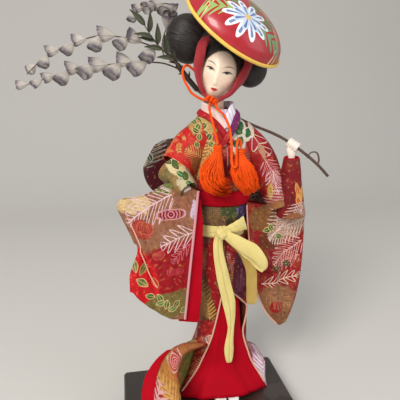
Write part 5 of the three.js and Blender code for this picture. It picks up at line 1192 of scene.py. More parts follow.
for t in np.linspace(0.07, 0.78, 14):
    open_edge, fold = between(-31.0, -45.0, t), right_face(np.array(1.0), np.array(t))[0]
    lip = (open_edge - (-104 + 38 * t / 0.85) - 2) / (open_edge - fold)
    edge.append(right_face(np.array(min(lip, 0.99)), np.array(t)) + (-2.6, -0.4, 0))
cording("right_bag_fold_highlight_cord", edge, 0.6, piping_silk, "doll", "white")
v = np.linspace(0, 1, 60)[:, None]
w = np.linspace(0, 1, 18)[None, :]
wide = np.interp(v, (0, 0.2, 0.5, 0.8, 1), (4.5, 9.5, 13, 15.7, 15.5))
start = right_face(0 * v, 0.06 + 0.94 * v)
x = start[..., 0] - 6 + w * (6 + wide)
y = start[..., 1] + 1.6 + 0.6 * np.sin(w * 5 + v * 8) * w + w * 2.4
z = start[..., 2] - 3 - w * 7 * v ** 3 + 2 * w
grid = np.stack((x, y, z), -1)
sewn("right_sleeve_lining_strip", grid, crepe, "red", ["right_sleeve_lining"],
    0.8)

left_silk = brocade("left_sleeve_brocade", tint(166, 18, 32), tint(144, 14, 26), [
    ("patch", 21, 287, 9, 15, -22, tint(224, 214, 194), 0.5),
    ("leaf", 18, 298, 11, 4, 300, DARK_LEAF, tint(60, 80, 60)),
    ("leaf", 24, 288, 10, 3.6, 250, DARK_LEAF, tint(60, 80, 60)),
    ("patch", 31, 271, 8, 8, 45, tint(178, 40, 52), 0.1),
    ("fern", 26, 284, 30, 30, 300, tint(228, 200, 180), 2.0, 0.34, 0.44, 0.09),
    ("patch", 37, 264, 3, 9, 24, tint(190, 140, 110), 1.0),
    ("fern", 40, 256, 28, 28, 300, tint(226, 170, 170), 6.0, 0.4, 0.36, 0.13),
    ("fern", 48, 246, 24, 24, 275, tint(238, 212, 214), 6.0, 0.4, 0.36, 0.13),
    ("patch", 46, 224, 2.6, 9, 5, tint(214, 168, 84), 0.4),
    ("fern", 68, 226, 36, 36, 222, tint(236, 208, 196), 9.0, 0.42, 0.34, 0.14),
    ("patch", 56, 210, 8, 6, 0, tint(160, 106, 66), 0.5)], 0.1)
roll("left_sleeve_upper_roll", [(16, 1, 279), (37, -3, 262), (49, -7, 236), (60, -11, 207)],
     tapering(16.6, 13.2), lambda t: between(18.2, 12.7, np.sqrt(t)), left_silk, "brocade",
     "left_sleeve_upper", rests="left_arm", steps=60)
cuff_silk = brocade("left_forearm_brocade", tint(132, 14, 26), tint(114, 12, 22), [
    ("patch", 74, 220, 3.6, 11, 10, tint(222, 140, 66), 0.9),
    ("leaf", 70, 234, 15, 2.4, 286, tint(206, 92, 46), tint(244, 200, 104)),
    ("leaf", 79, 230, 16, 2.6, 262, tint(226, 140, 66), tint(248, 214, 130)),
    ("leaf", 71, 220, 13, 2.4, 300, tint(196, 70, 40), tint(240, 190, 96)),
    ("fern", 82, 212, 34, 34, 235, tint(236, 210, 196), 9.0, 0.42, 0.34, 0.14),
    ("fern", 74, 188, 26, 26, 70, tint(232, 196, 180), 7.0, 0.4, 0.34, 0.14),
    ("patch", 72, 196, 10, 7, 0, tint(150, 96, 62), 0.5)], 0.05)
roll("left_sleeve_forearm_roll", [(72, -14, 197), (69, -16.5, 227), (68, -18.5, 258)],
     tapering(13.7, 8.2), lambda t: between(14.7, 7.7, t ** 1.3), cuff_silk, "brocade",
     "left_sleeve_forearm", rests="left_arm")
roll("left_cuff_lining_ring", [(68.7, -17, 240), (68.4, -17.8, 249), (68, -18.6, 259)],
     tapering(9.0, 7.3), tapering(9.6, 6.9), crepe, "red", "left_cuff_lining", steps=16,
     rests="left_sleeve_forearm_roll")


def left_face(u, v):
    open_edge = 23.5 + 18.5 * v ** 1.2 + 22 * v ** 6
    fold = 86.5 - 14.5 * v ** 4
    wave = 2.4 * np.sin(12.5 * u - 1.5 * v) * (0.35 + 0.65 * ease(1.5 * v)) + 0.5 * np.sin(27 * u + 7 * v)
    wave = wave * (1 - 0.8 * ease((v - 0.8) / 0.2))
    z = between(213 - 12 * u, 66 + 10 * (u - 0.5) ** 2, v)
    return np.stack((between(open_edge, fold, u), between(-14.0, -9.0, v) + wave, z), -1)


bag_silk = brocade("left_bag_brocade", tint(160, 16, 28), tint(140, 18, 28), [
    ("patch", 42, 194, 15, 15, 20, tint(138, 92, 50), 0.5),
    ("patch", 68, 190, 22, 16, 0, tint(134, 84, 58), 0.5),
    ("patch", 50, 170, 12, 12, 20, tint(112, 54, 36), 0.5),
    ("fern", 90, 206, 54, 54, 212, tint(238, 214, 198), 11.0, 0.42, 0.32, 0.14),
    ("fern", 88, 192, 44, 44, 196, tint(234, 204, 184), 10.0, 0.4, 0.32, 0.14),
    ("fern", 74, 206, 34, 34, 240, tint(224, 186, 170), 8.0, 0.4, 0.34, 0.13),
    ("leaf", 42, 180, 11, 3.4, 20, LEAF, STRAW_GOLD), ("leaf", 56, 176, 10, 3.2, 330, LEAF, STRAW_GOLD),
    ("leaf", 48, 188, 9, 3.0, 300, LEAF, STRAW_GOLD),
    ("fern", 86, 168, 40, 40, 212, tint(236, 188, 180), 6.0, 0.38, 0.38, 0.13),
    ("fern", 84, 152, 30, 30, 200, tint(224, 160, 150), 5.0, 0.36, 0.38, 0.13),
    ("posy", 59, 137, 4.6, 4.6, 0, tint(46, 76, 48), tint(150, 150, 100)),
    ("posy", 71, 141, 4.6, 4.6, 20, tint(46, 76, 48), tint(150, 150, 100)),
    ("fern", 44, 118, 44, 44, 6, tint(234, 204, 182), 5.0, 0.22, 0.4, 0.13),
    ("patch", 62, 97, 22, 20, 0, tint(152, 104, 72), 0.4),
    ("patch", 62, 90, 8, 8, 20, tint(172, 26, 34), 0.3),
    ("fern", 52, 106, 30, 30, 320, tint(190, 140, 100), 6.0, 0.4, 0.34, 0.14),
    ("patch", 66, 74, 16, 9, 0, tint(140, 92, 62), 0.4)], 0.15)
bag("left_sleeve_bag_cloth", left_face, tapering(13.0, 8.0), bag_silk, "left_sleeve_bag")
edge = [left_face(np.array(0.0), np.array(t)) + (-0.4, -0.9, 0) for t in np.linspace(0.02, 1, 14)]
cording("left_bag_piping", edge, 0.8, piping_silk, "doll", "white")

# Hands and head: pale painted composition, with a narrow oval face, fine brows, half-closed eyes and a
# small red mouth painted on. The head leans and looks down, and turns on a peg in the straw body.
UNDER_SKIN = (0.004, 0.002, 0.001)  # how far red, green and blue light goes in
skin = mottled(
    "painted_composition", tint(234, 220, 206), tint(246, 238, 228), 420.0, 3.0, (0.2, 0.4), 0.08, 0.0003,
    Subsurface_Weight=0.08, Subsurface_Radius=UNDER_SKIN, Coat_Weight=0.15, Coat_Roughness=0.35)
for node in ("right_hand", "left_hand"):
    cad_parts[node].data.materials[0] = skin


def turned(degrees, axis):
    return Matrix.Rotation(math.radians(degrees), 4, axis)


HEAD_RADII = (19, 20, 26)
HEAD_PLACE = Matrix.Translation(mm((-4.5, -4, 341))) @ (turned(-16, "Z") @ turned(17, "Y") @ turned(7, "X"))


def set_in(piece, frame_of):
    """Moves a piece made about its own centre into its place and bakes the move in."""
    take(piece)
    piece.matrix_world = frame_of @ piece.matrix_world
    bpy.ops.object.transform_apply(location=True, rotation=True, scale=True)


def on_all(step, **how):
    """Runs one edit step on all of the active mesh."""
    bpy.ops.object.mode_set(mode="EDIT")
    bpy.ops.mesh.select_all(action="SELECT")
    step(**how)
    bpy.ops.object.mode_set(mode="OBJECT")


def pull(piece, at, reach, move):
    """Draws the surface near a place out or in, fading away over a reach, all in millimetres."""
    spot = Vector(at) * MM
    nearest = min(piece.data.vertices, key=lambda point: (point.co - spot).length)
    unpick(piece)
    nearest.select = True
    bpy.ops.object.mode_set(mode="EDIT")
    bpy.ops.transform.translate(
        value=[MM * step for step in move], use_proportional_edit=True, proportional_edit_falloff="SMOOTH",
        proportional_size=reach * MM)
    bpy.ops.object.mode_set(mode="OBJECT")


def seen_from(tree, frame_of):
    """A material's coordinates about a posed piece's own centre."""
    return put(
        tree, "Mapping", ("Vector", own_place(tree)), ("Location", frame_of.to_translation()),
        ("Rotation", frame_of.to_euler("XYZ")), vector_type="TEXTURE").outputs[0]


def oval(tree, flat, x, z, wide, high, degrees, bend=0.0, soft=0.25):
    """A painted stroke: a soft-edged oval, bent upward in its middle; in millimetres."""
    local = put(
        tree, "Mapping", ("Vector", flat), ("Location", (x * MM, z * MM, 0)),
        ("Rotation", (0, 0, math.radians(degrees))),
        ("Scale", (wide * MM, high * MM, 1)), vector_type="TEXTURE").outputs[0]
    part = parts(local)
    bent = times_plus(times(part[0], part[0]), bend, part[1])
    away = calc("SQRT", calc("ADD", times(part[0], part[0]), times(bent, bent)))
    return soft_step(away, 1 - soft, 1 + soft)


face_paint, tree, shader = finish(
    "painted_face", Subsurface_Weight=0.1, Subsurface_Radius=UNDER_SKIN, Coat_Weight=0.2, Coat_Roughness=0.3)
local = seen_from(tree, HEAD_PLACE)
part = parts(local)
flat = put(tree, "CombineXYZ", (0, part[0]), (1, part[2])).outputs[0]
front = below(part[1], 0.0)
brushed = noise(local, 500.0, 3.0)
colour = over(brushed, tint(238, 212, 186), tint(246, 228, 206))
PAIRS = (  # right and left x, z, width, height, slant, bend, softness, strength, colour
    (-9.5, 11, -7, 5, 4, 0, 0, 0.9, 0.35, tint(232, 160, 140)),  # blush
    (-8, 8.8, 8.2, 4.6, 0.65, -8, 1.8, 0.6, 0.75, tint(96, 70, 58)),  # brows
    (-7.6, 8.6, 2.3, 4.1, 1.0, -7, 0.2, 0.3, 0.9, tint(226, 212, 198)),  # whites of the eyes
    (-7.3, 8.1, 2.4, 1.7, 1.1, 0, 0, 0.2, 1.0, tint(26, 18, 16)),  # pupils
    (-7.7, 8.7, 3.3, 4.6, 0.8, -7, 1.3, 0.3, 1.0, tint(30, 20, 18)),  # upper lids
    (-7.7, 8.7, 1.5, 4.0, 0.3, -7, -0.8, 0.6, 0.55, tint(120, 84, 70)),  # lower lids
    (-7.7, 8.7, 5.2, 4.2, 0.5, -7, 1.8, 0.6, 0.35, tint(160, 118, 100)),  # creases over the lids
    (-0.4, 2.0, -10.8, 0.6, 0.4, 0, 0, 0.5, 0.6, tint(180, 100, 86)),  # nostrils
    (-0.3, 2.3, -14.0, 2.1, 0.8, 12, 0.0, 0.3, 1.0, tint(190, 24, 34)),  # upper lip
)
MOUTH = (
    (1.0, -15.2, 2.3, 0.9, 0, -0.2, 0.3, 1.0, tint(208, 44, 50)),
    (1.0, -14.6, 3.0, 0.25, 0, -0.3, 0.4, 0.9, tint(110, 8, 16)),
)
strokes = []
for right, left, z, wide, high, slant, *rest in PAIRS:
    strokes += [(right, z, wide, high, slant, *rest), (left, z, wide, high, -slant, *rest)]
for *stroke, strength, shade in strokes + list(MOUTH):
    mask = times(times(oval(tree, flat, *stroke), front), strength)
    colour = over(mask, colour, shade)
wear_to(shader, colour, times_plus(brushed, 0.15, 0.36), brushed, 0.05, 0.0003)

bpy.ops.object.select_all(action="DESELECT")
bpy.ops.mesh.primitive_uv_sphere_add(segments=72, ring_count=54, radius=1, location=(0, 0, 0),
    scale=[MM * r for r in HEAD_RADII])
face = named("head_painted")
for at, reach, move in (
    ((-13, -10, -16), 14, (2.2, 0, 0)), ((13, -10, -16), 14, (-2.2, 0, 0)),  # jaw
    ((-13, 6, -16), 13, (2.0, 0, 0)), ((13, 6, -16), 13, (-2.0, 0, 0)),
    ((0, -13, -20), 14, (0, -5.0, 0.4)), ((0, -18, -10), 13, (0, -2.2, 0)),
    ((0, -14.5, -22), 7, (0, -1.5, -0.4)),  # lower face and chin
    ((-7.6, -18.5, 3), 7, (0, 1.0, 0)), ((8.6, -18.5, 3), 7, (0, 1.0, 0)),  # eye hollows
    ((-7.6, -17.5, 1.5), 3.4, (0, -0.5, 0)), ((8.6, -17.5, 1.5), 3.4, (0, -0.5, 0)),
    ((0.8, -20, 4), 4.0, (0, -0.8, 0)), ((0.8, -21, 0), 4.0, (0, -1.3, 0)),
    ((0.8, -22, -4), 4.0, (0, -1.7, 0)), ((0.8, -23, -8.6), 3.6, (0, -2.4, 0.3)),  # nose
    ((1, -22, -14), 3.4, (0, -0.7, 0)), ((1, -22, -16.4), 2.8, (0, -0.5, 0)),  # lips
    ((-10, -14, -8), 8, (-0.5, -0.6, 0)), ((11, -14, -8), 8, (0.5, -0.6, 0)),  # cheeks
):
    pull(face, at, reach, move)
set_in(face, HEAD_PLACE)
shape_up(face, face_paint, subdivide=1)
settle(face, "head", "skin", "head")
bpy.ops.object.select_all(action="DESELECT")
bpy.ops.mesh.primitive_cylinder_add(vertices=48, radius=0.0074, depth=0.030, location=(0, 0, 0))
neck = bpy.context.object
neck.name = "neck_painted"
on_all(bpy.ops.mesh.bevel, offset=0.0012, segments=3)
set_in(neck, Matrix.Translation(mm((-6.5, -2, 311.5))) @ turned(-4, "Y") @ turned(3, "X"))
neck_paint = mottled(
    "painted_neck", tint(232, 186, 164), tint(244, 208, 188), 420.0, 3.0, (0.2, 0.4), 0.08, 0.0003,
    Subsurface_Weight=0.1, Subsurface_Radius=UNDER_SKIN, Coat_Weight=0.1)
shape_up(neck, neck_paint, subdivide=1)
settle(neck, "head", "skin")

# Wig: black silk thread combed up off the face over a stiffened cap, with a full lobe at each side, a
# roll over the nape and a topknot under the hat.
def hair_finish(name, frame_of, scale):
    material, tree, shader = finish(name, Sheen_Weight=0.05, Specular_IOR_Level=0.4)
    local = seen_from(tree, frame_of)
    combed = put(tree, "Mapping", ("Vector", local), ("Scale", scale)).outputs[0]
    fine = put(tree, "TexNoise", ("Vector", combed), ("Scale", 1.0), ("Detail", 4.0),
        ("Distortion", 0.3)).outputs[0]
    locks = noise(combed, 0.22, 2.0)
    shine = put(tree, "MapRange", (0, fine), (1, 0.35), (2, 0.7)).outputs[0]
    colour = over(shine, tint(15, 12, 11), tint(46, 39, 36))
    relief = times_plus(locks, 2.0, fine)
    wear_to(shader, colour, times_plus(fine, 0.3, 0.36), relief, 0.8, 0.0008)
    return material


def lobe(name, centre, radii, frame_of, material, node, hollow=0.0):
    """A full ball of combed hair, flattened a little where it is drawn in to the head."""
    bpy.ops.object.select_all(action="DESELECT")
    bpy.ops.mesh.primitive_uv_sphere_add(segments=48, ring_count=32, radius=1, scale=[MM * r for r in radii])
    piece = named(name)
    if hollow:
        pull(piece, (hollow * radii[0], -radii[1] * 0.3, 0), radii[0] * 0.9, (-hollow * 2.5, 0, 0))
    set_in(piece, frame_of @ Matrix.Translation(Vector(centre) * MM))
    shape_up(piece, material, subdivide=1)
    settle(piece, "head", "hair", *([node] if node else []))
    return piece


DOLL = Matrix.Translation(HEEL)
SHARP = math.radians(50)  # an edge that turns by more than this stays sharp
head_hair = hair_finish("combed_hair", HEAD_PLACE, (900, 110, 110))
cap = lobe("wig_cap_combed", (0, 3, 2), (22.2, 25.2, 29.2), HEAD_PLACE, head_hair, "wig_cap")
bpy.ops.object.select_all(action="DESELECT")
bpy.ops.mesh.primitive_uv_sphere_add(segments=64, ring_count=40, radius=1, scale=(0.0206, 0.0225, 0.0300))
opening = bpy.context.object
set_in(opening, HEAD_PLACE @ Matrix.Translation(Vector((0.0008, -0.0195, -0.0085))))
shape_up(opening, head_hair)
trim = cap.modifiers.new("face", "BOOLEAN")
trim.object, trim.operation, trim.solver = opening, "DIFFERENCE", "EXACT"
bpy.context.view_layer.objects.active = cap
bpy.ops.object.modifier_apply(modifier="face")
bpy.data.objects.remove(opening)
take(cap)
nape = HEAD_PLACE @ Vector((0, 0, -0.0155))
upright = HEAD_PLACE.to_3x3() @ Vector((0, 0, 1))
on_all(bpy.ops.mesh.bisect, plane_co=nape, plane_no=upright, use_fill=True, clear_inner=True)
bpy.ops.object.shade_smooth_by_angle(angle=SHARP)
LOBE_PLACE = DOLL @ Matrix.Translation(Vector((-0.033, 0.010, 0.3725))) @ turned(24, "Y")
side_hair = hair_finish("combed_lobes", LOBE_PLACE, (130, 130, 900))
lobe("wig_right_lobe", (-33, 10, 372.5), (21.8, 17.9, 23.3), DOLL, side_hair, "wig_right_wing", 1)
lobe("wig_left_lobe", (27.5, -1, 345), (16.9, 13.8, 18.3), DOLL, side_hair, "wig_left_wing", -1)
lobe("wig_nape_roll", (0, 21, -3), (15, 10, 14), HEAD_PLACE, head_hair, "wig_back_roll")
lobe("wig_crown_roll", (-11, 1, 368.5), (15, 14, 11.5), DOLL, side_hair, None)

# Hat: a shallow bowl of red lacquered paper with a big white flower, green leaves and fine gilt lines
# painted on it, a gilt rim, and a cushion inside that ties it to the topknot.
HAT_PLACE = Matrix.Translation(mm((8, -12, 379.5))) @ turned(36, "X") @ turned(26.5, "Y")
lobe("wig_topknot_combed", (0, 0, -4), (13.8, 13.8, 14.5), HAT_PLACE, head_hair, "wig_topknot")
lacquered, tree, shader = finish("painted_red_lacquer", Coat_Weight=0.5, Coat_Roughness=0.16)
local = seen_from(tree, HAT_PLACE)
part = parts(local)
flat = put(tree, "CombineXYZ", (0, part[0]), (1, part[1])).outputs[0]
above = beyond(part[2], 0.0012)
brushed = noise(local, 160.0, 4.0)
colour = over(brushed, tint(156, 5, 24), tint(186, 12, 34))
FLOWER = (-8.0, -25.0)
around = put(
    tree, "Mapping", ("Vector", flat), ("Location", (FLOWER[0] * MM, FLOWER[1] * MM, 0)),
    ("Scale", (0.024, 0.021, 1)), vector_type="TEXTURE").outputs[0]
own = parts(around)
away = length_of(around)
angle = calc("ARCTAN2", own[1], own[0])
for circle, shade in (
    (1.5, tint(232, 206, 150)), (1.7, tint(120, 160, 100)), (1.62, tint(226, 190, 120)),
    (2.5, tint(226, 186, 110)),
):
    wavy = times_plus(calc("SINE", times(angle, 3.0)), 0.14, away)
    near = below(calc("ABSOLUTE", minus(wavy, circle)), 0.022)
    colour = over(near, colour, shade)
for degrees, size, shade in (
    (60, 26, tint(70, 130, 76)), (165, 26, tint(150, 180, 96)), (120, 28, tint(84, 140, 84)),
    (345, 30, tint(110, 160, 110)), (20, 26, tint(70, 130, 76)),
):
    way = math.radians(degrees)
    root = ((FLOWER[0] + 13 * math.cos(way)) * MM, (FLOWER[1] + 13 * math.sin(way)) * MM, 0)
    spray = use(tree, fern, ("Vector", flat), ("Centre", root), ("Size", (size * MM, size * MM, 1)),
                ("Angle", way), ("Leaflets", 4.0), ("Fullness", 0.34), ("Stroke", 0.36))
    colour = over(spray["Mask"], colour, shade)
for count, inner, reach, shift, shade, vein in (
    (10.0, 0.72, 0.26, 0.4, tint(236, 240, 246), tint(64, 96, 160)),
    (7.0, 0.46, 0.2, 0.0, tint(196, 214, 232), tint(58, 74, 152)),
):
    beat = calc("COSINE", times_plus(angle, count, shift))
    bow = calc("SQRT", calc("MAXIMUM", times_plus(beat, 0.5, 0.5), 0.0))
    tip = times_plus(bow, reach * 2, inner - reach)
    colour = over(below(away, tip), colour, shade)
    within = below(away, times(tip, 0.86))
    stroke = times(beyond(beat, 0.72), within)
    colour = over(times(stroke, 0.85), colour, vein)
colour = over(soft_step(away, 0.12, 0.15), colour, tint(226, 190, 110))
plain = over(brushed, tint(150, 16, 30), tint(172, 26, 38))
colour = over(above, plain, colour)
wear_to(shader, colour, times_plus(brushed, 0.25, 0.3), brushed, 0.06, 0.0005)

bpy.ops.object.select_all(action="DESELECT")
bpy.ops.mesh.primitive_uv_sphere_add(segments=96, ring_count=48, radius=1, scale=(0.0504, 0.0504, 0.026))
shell = named("hat_bowl")
on_all(bpy.ops.mesh.bisect, plane_co=(0, 0, 0), plane_no=(0, 0, 1), use_fill=False, clear_inner=True)
wall = shell.modifiers.new("wall", "SOLIDIFY")
wall.thickness, wall.offset = 0.0018, -1
bpy.ops.object.modifier_apply(modifier="wall")
set_in(shell, HAT_PLACE)
shape_up(shell, lacquered)
bpy.ops.object.shade_smooth_by_angle(angle=SHARP)
settle(shell, "head", "redLacquer", "hat_shell")

gilt = mottled(
    "gilt_rim", tint(216, 164, 60), tint(250, 216, 104), 140.0, 5.0, (0.4, 0.25), 0.15, 0.0004,
    Coat_Weight=0.2)
bpy.ops.object.select_all(action="DESELECT")
bpy.ops.mesh.primitive_torus_add(major_segments=128, minor_segments=16, major_radius=0.0514,
    minor_radius=0.0015)
rim = bpy.context.object
rim.name = "hat_rim_gilt"
on_all(bpy.ops.transform.resize, value=(1, 1, 1.1), center_override=(0, 0, 0))
set_in(rim, HAT_PLACE)
shape_up(rim, gilt)
settle(rim, "head", "gold", "hat_rim")

bpy.ops.object.select_all(action="DESELECT")
bpy.ops.mesh.primitive_cylinder_add(vertices=40, radius=0.0158, depth=0.011, location=(0, 0, 0.0148))
cushion = named("hat_cushion")
on_all(bpy.ops.mesh.bevel, offset=0.003, segments=4)
cushion.data.uv_layers[0].name = "cut"
set_in(cushion, HAT_PLACE)
shape_up(cushion, crepe)
settle(cushion, "head", "red", "hat_pad")

# Straps: strips of red crepe folded over wadding, from inside the hat down both cheeks to the chin,
# where the cord's knot holds them together and so keeps the hat on.
CHIN = np.array((-15, -19.5, 314.5))


def on_head(turn, rise, off):
    turn, rise = math.radians(turn), math.radians(rise)
    wide, deep, high = (radius + off for radius in HEAD_RADII)
    x = wide * math.cos(rise) * math.sin(turn)
    y = -deep * math.cos(rise) * math.cos(turn)
    place = HEAD_PLACE @ (MM * Vector((x, y, high * math.sin(rise))))
    return (np.array(place) - HEEL) / MM


strap_silk, tree, shader = finish("strap_crepe", Sheen_Weight=0.2, Specular_IOR_Level=0.45)
cut = cut_map(tree)
threads = use(tree, weave, ("Cut", cut), ("Threads", 1500.0))
drawn = put(tree, "Mapping", ("Vector", cut), ("Scale", (500, 60, 1))).outputs[0]
puckers = noise(drawn, 1.0, 3.0)
wear_to(shader, over(puckers, tint(130, 8, 22), tint(176, 16, 34)), times_plus(puckers, 0.3, 0.3),
        times_plus(puckers, 3.0, threads["Height"]), 0.4, 0.0005)
for side, name, places in (
    (-1, "right_strap", ((79, 62, 9), (77, 46, 8), (64, 35, 8), (54, 17, 5.6), (52, 0, 3.8), (46, -18, 2.6),
                         (36, -33, 2.2), (24, -48, 2))),
    (1, "left_strap", ((84, 44, 8), (80, 27, 6.5), (72, 7, 3.2), (60, -13, 2.4), (54, -31, 2),
        (40, -45, 1.6))),
):
    line = [on_head(side * turn, rise, off + 2) for turn, rise, off in places]
    line.append(CHIN + (side * 3.5, 0, -side * 1.2))
    roll(name + "_wadded", line, widths((0, 0.35, 0.5, 0.66, 1), (4.4, 4.6, 4.0, 2.6, 1.5)),
         tapering(2.2, 1.5), strap_silk, "red", name,
         across=(0.85, 0.35 * side, 0.1), wrinkle=0.8, rests="head_painted", body="head")

# Chin cord: a twisted orange silk cord, knotted under the chin. A loose loop of it stands off to the
# doll's right, and its two ends hang down over the chest to a pair of full silk tassels.
cord_silk, tree, shader = finish("orange_silk", Specular_IOR_Level=0.2)
cut = cut_map(tree)
strands = put(tree, "Mapping", ("Vector", cut), ("Scale", (5000, 900, 1)),
    ("Rotation", (0, 0, 0.6))).outputs[0]
floss = noise(strands, 1.0, 2.0)
wear_to(shader, over(floss, tint(214, 44, 0), tint(255, 104, 4)), times_plus(floss, 0.3, 0.45), floss, 0.5,
    0.0003)


def hang(name, points, body, node):
    """A twisted cord: on the head it is settled on its body; elsewhere its transform is baked in and the
    solid it stands for is hidden.
    """
    piece = tube(name, points, 1.1, 14, 150, twist=34, plies=3)
    piece.data.materials.append(cord_silk)
    if body == "head":
        settle(piece, body, "orange", node)
    else:
        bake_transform(piece)
        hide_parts(node)


roll_by = math.radians(17)
for dx, dz, wide, high, lean, deep, name, nodes in (
    (-3.6, 0.8, 1.9, 1.5, 0.5, 1, "chin_knot_wrap_1", ["chin_knot"]),
    (3.6, -0.8, 1.9, 1.5, -0.5, 1, "chin_knot_wrap_2", ()),
    (0, 0, 1.5, 2.1, 0.0, 1.4, "chin_knot_wrap_3", ()),
):
    ring = []
    for turn in np.linspace(0, 2 * math.pi, 17):
        x = dx + wide * math.cos(turn) * math.cos(lean)
        y = 1.7 * math.cos(turn + 0.6) * deep - 0.5
        z = dz + high * math.sin(turn)
        level = x * math.cos(roll_by) + z * math.sin(roll_by)
        ring.append(CHIN + (level, y, -x * math.sin(roll_by) + z * math.cos(roll_by)))
    cording(name, ring, 1.6, cord_silk, "head", "orange", nodes, 12, 60, twist=10, plies=3)
loop_line = [CHIN + at for at in ((-4.5, -1, 0.4), (-10, -2, 1), (-19, -2.5, 6), (-25, -2, 15),
    (-28, -1, 25), (-25, 1, 31), (-20, 5, 30.5), (-15, 9, 27))]
hang("loose_loop_cord", loop_line, "head", "loose_loop")


def mesh_of(name, points, faces, cuts, material):
    """One mesh of many small parts, with its own lengths as a UV map."""
    mesh = bpy.data.meshes.new(name)
    mesh.from_pydata([tuple(p) for p in mm(points)], [], faces)
    layer = mesh.uv_layers.new(name="cut")
    for loop in mesh.loops:
        layer.data[loop.index].uv = cuts[loop.vertex_index]
    mesh.materials.append(material)
    piece = bpy.data.objects.new(name, mesh)
    scene.collection.objects.link(piece)
    take(piece)
    return piece


def tassel(name, top, fall, body, node, seed):
    """A tassel: a bound neck, and a skirt of silk threads that swells and curls to one side."""
    rng = np.random.default_rng(seed)
    x, y, z = top
    neck, steps, threads, rows, corners = 7.9, 60, 420, 9, 4
    neck_radius, full_radius, thread_radius = 3.2, 11.4, 0.48
    line = trace([(x, y, z), (x, y, z - neck)] + [(x + dx, y + 0.3, z - drop) for dx, drop in fall], steps)
    heading = np.gradient(line, axis=0)
    level = unit(np.stack((-heading[:, 2], 0 * heading[:, 1], heading[:, 0]), 1))
    points, faces, cuts = [], [], []
    for _ in range(threads):
        turn, out = rng.uniform(0, 2 * math.pi), rng.uniform(0.12, 1.0) ** 0.4
        last = rng.uniform(0.86, 1.0)
        wave, beat = rng.uniform(0, 6.28), rng.uniform(6, 11)
        base = len(points)
        for row in range(rows):
            t = last * row / (rows - 1)
            here = min(steps - 1, int(t * (steps - 1)))
            spread = between(neck_radius, full_radius, float(ease((t - 0.08) / 0.4)))
            spread = spread * (1 - 0.3 * float(ease((t - 0.62) * 2.6)))
            lean = turn + 0.3 * math.sin(beat * t + wave) * t
            reach = spread * out * (1 + 0.12 * math.sin(beat * 1.7 * t + wave * 2) * t)
            mid = line[here] + math.cos(lean) * reach * level[here]
            mid = mid + np.array((0, math.sin(lean) * reach * 0.92, 0))
            for corner in range(corners):
                way = corner * math.pi / 2 + 0.5
                points.append(mid + thread_radius * np.array((math.cos(way), math.sin(way), 0)))
                cuts.append((corner * 0.0004, t * 0.044))
        for row in range(rows - 1):
            for corner in range(corners):
                a, b = (base + row * corners + (corner + n) % corners for n in (0, 1))
                faces.append((a, a + corners, b + corners, b))
        end = base + corners * rows - 1
        faces += [tuple(range(base, base + corners)), tuple(range(end, end - corners, -1))]
    piece = mesh_of(name, points, faces, cuts, cord_silk)
    bpy.ops.object.shade_smooth()
    settle(piece, body, "orange", node)
    turns = np.linspace(0, 8 * math.pi, 60)
    wound = [(x + 3.5 * math.cos(a), y + 3.4 * math.sin(a), z - 1.2 - 0.62 * a / 2) for a in turns]
    binding = cording(name + "_binding", wound, 0.75, cord_silk, body, "orange", (), 8, 160)
    return piece, binding


for name, top, fall, line, seed in (
    ("right_tassel", (-13.5, -39.3, 274.5), ((-3, 17), (-5.5, 26), (-3, 35), (5, 40), (13, 39)),
     [CHIN + (-3.0, -4.0, -2.6), CHIN + (-3.2, -4.2, -7.4), CHIN + (-1.5, -15.84, -24),
         (-13.5, -39.3, 275.25)], 3),
    ("left_tassel", (8.5, -39.3, 270.5), ((1.5, 19), (8, 33), (13, 42)),
     [CHIN + at for at in (
         (3.0, -4.0, -2.6), (3.6, -4.4, -7), (9, -9.5, -13), (13.4, -17, -26), (13.9, -23, -42),
         (13.0, -27, -54), (13.4, -28.4, -58), (15.4, -29, -60), (17.4, -28.4, -58), (17.8, -26.8, -54),
         (18.2, -24.2, -45))]
     + [(4.2, -42.3, 276), (5.0, -41.7, 278.3), (6.6, -40.4, 279.4), (8.1, -39.5, 278), (8.5, -39.3, 275.5),
        (8.5, -39.3, 271.25)], 4),
):
    pieces = tassel(name + "_threads", top, fall, name, name, seed)
    hang(name + "_cord_twist", line, name, name + "_cord")

# Wisteria branch: a brown paper-wound wire carried over the shoulder, curled at its lower end. At its
# upper end a leafy spray and three racemes of stiffened gauze blossoms are bound on with dark thread.
bark, tree, shader = finish("paper_wound_wire", Specular_IOR_Level=0.3)
cut = cut_map(tree)
wound = put(tree, "Mapping", ("Vector", cut), ("Rotation", (0, 0, 0.5)), ("Scale", (700, 420, 1))).outputs[0]
laps = put(tree, "TexWave", ("Vector", wound), ("Scale", 0.5), ("Distortion", 2.0),
    ("Detail", 2.0)).outputs[1]
stain = noise(cut, 240.0, 4.0)
colour = over(stain, tint(64, 48, 42), tint(112, 92, 80))
wear_to(shader, colour, times_plus(stain, 0.3, 0.55), laps, 0.5, 0.0005)
cording("branch_wire", [
    (106, -24, 239), (94.5, -24, 250.5), (80, -22.5, 262.5), (68.6, -19, 271), (60.5, -12, 277),
    (53.5, -2, 281.4), (47.8, 9, 284.4), (41, 17.6, 287.6), (31.5, 22.4, 292), (18, 24, 299),
    (-4, 22, 312.5), (-23, 14, 325), (-34, 5, 335)], 1.5, bark, "branch", "stem", ["branch_stem"], 14, 160)


def thinning(t):
    return 1 - 0.5 * t


curl_line = [(94, -24, 251), (95, -24, 256), (91.5, -25, 263.5), (85, -25.5, 263.5), (81.5, -25, 258)]
cording("branch_curl", curl_line, 1.0, bark, "branch", "stem", (), 12, 60, taper=thinning)

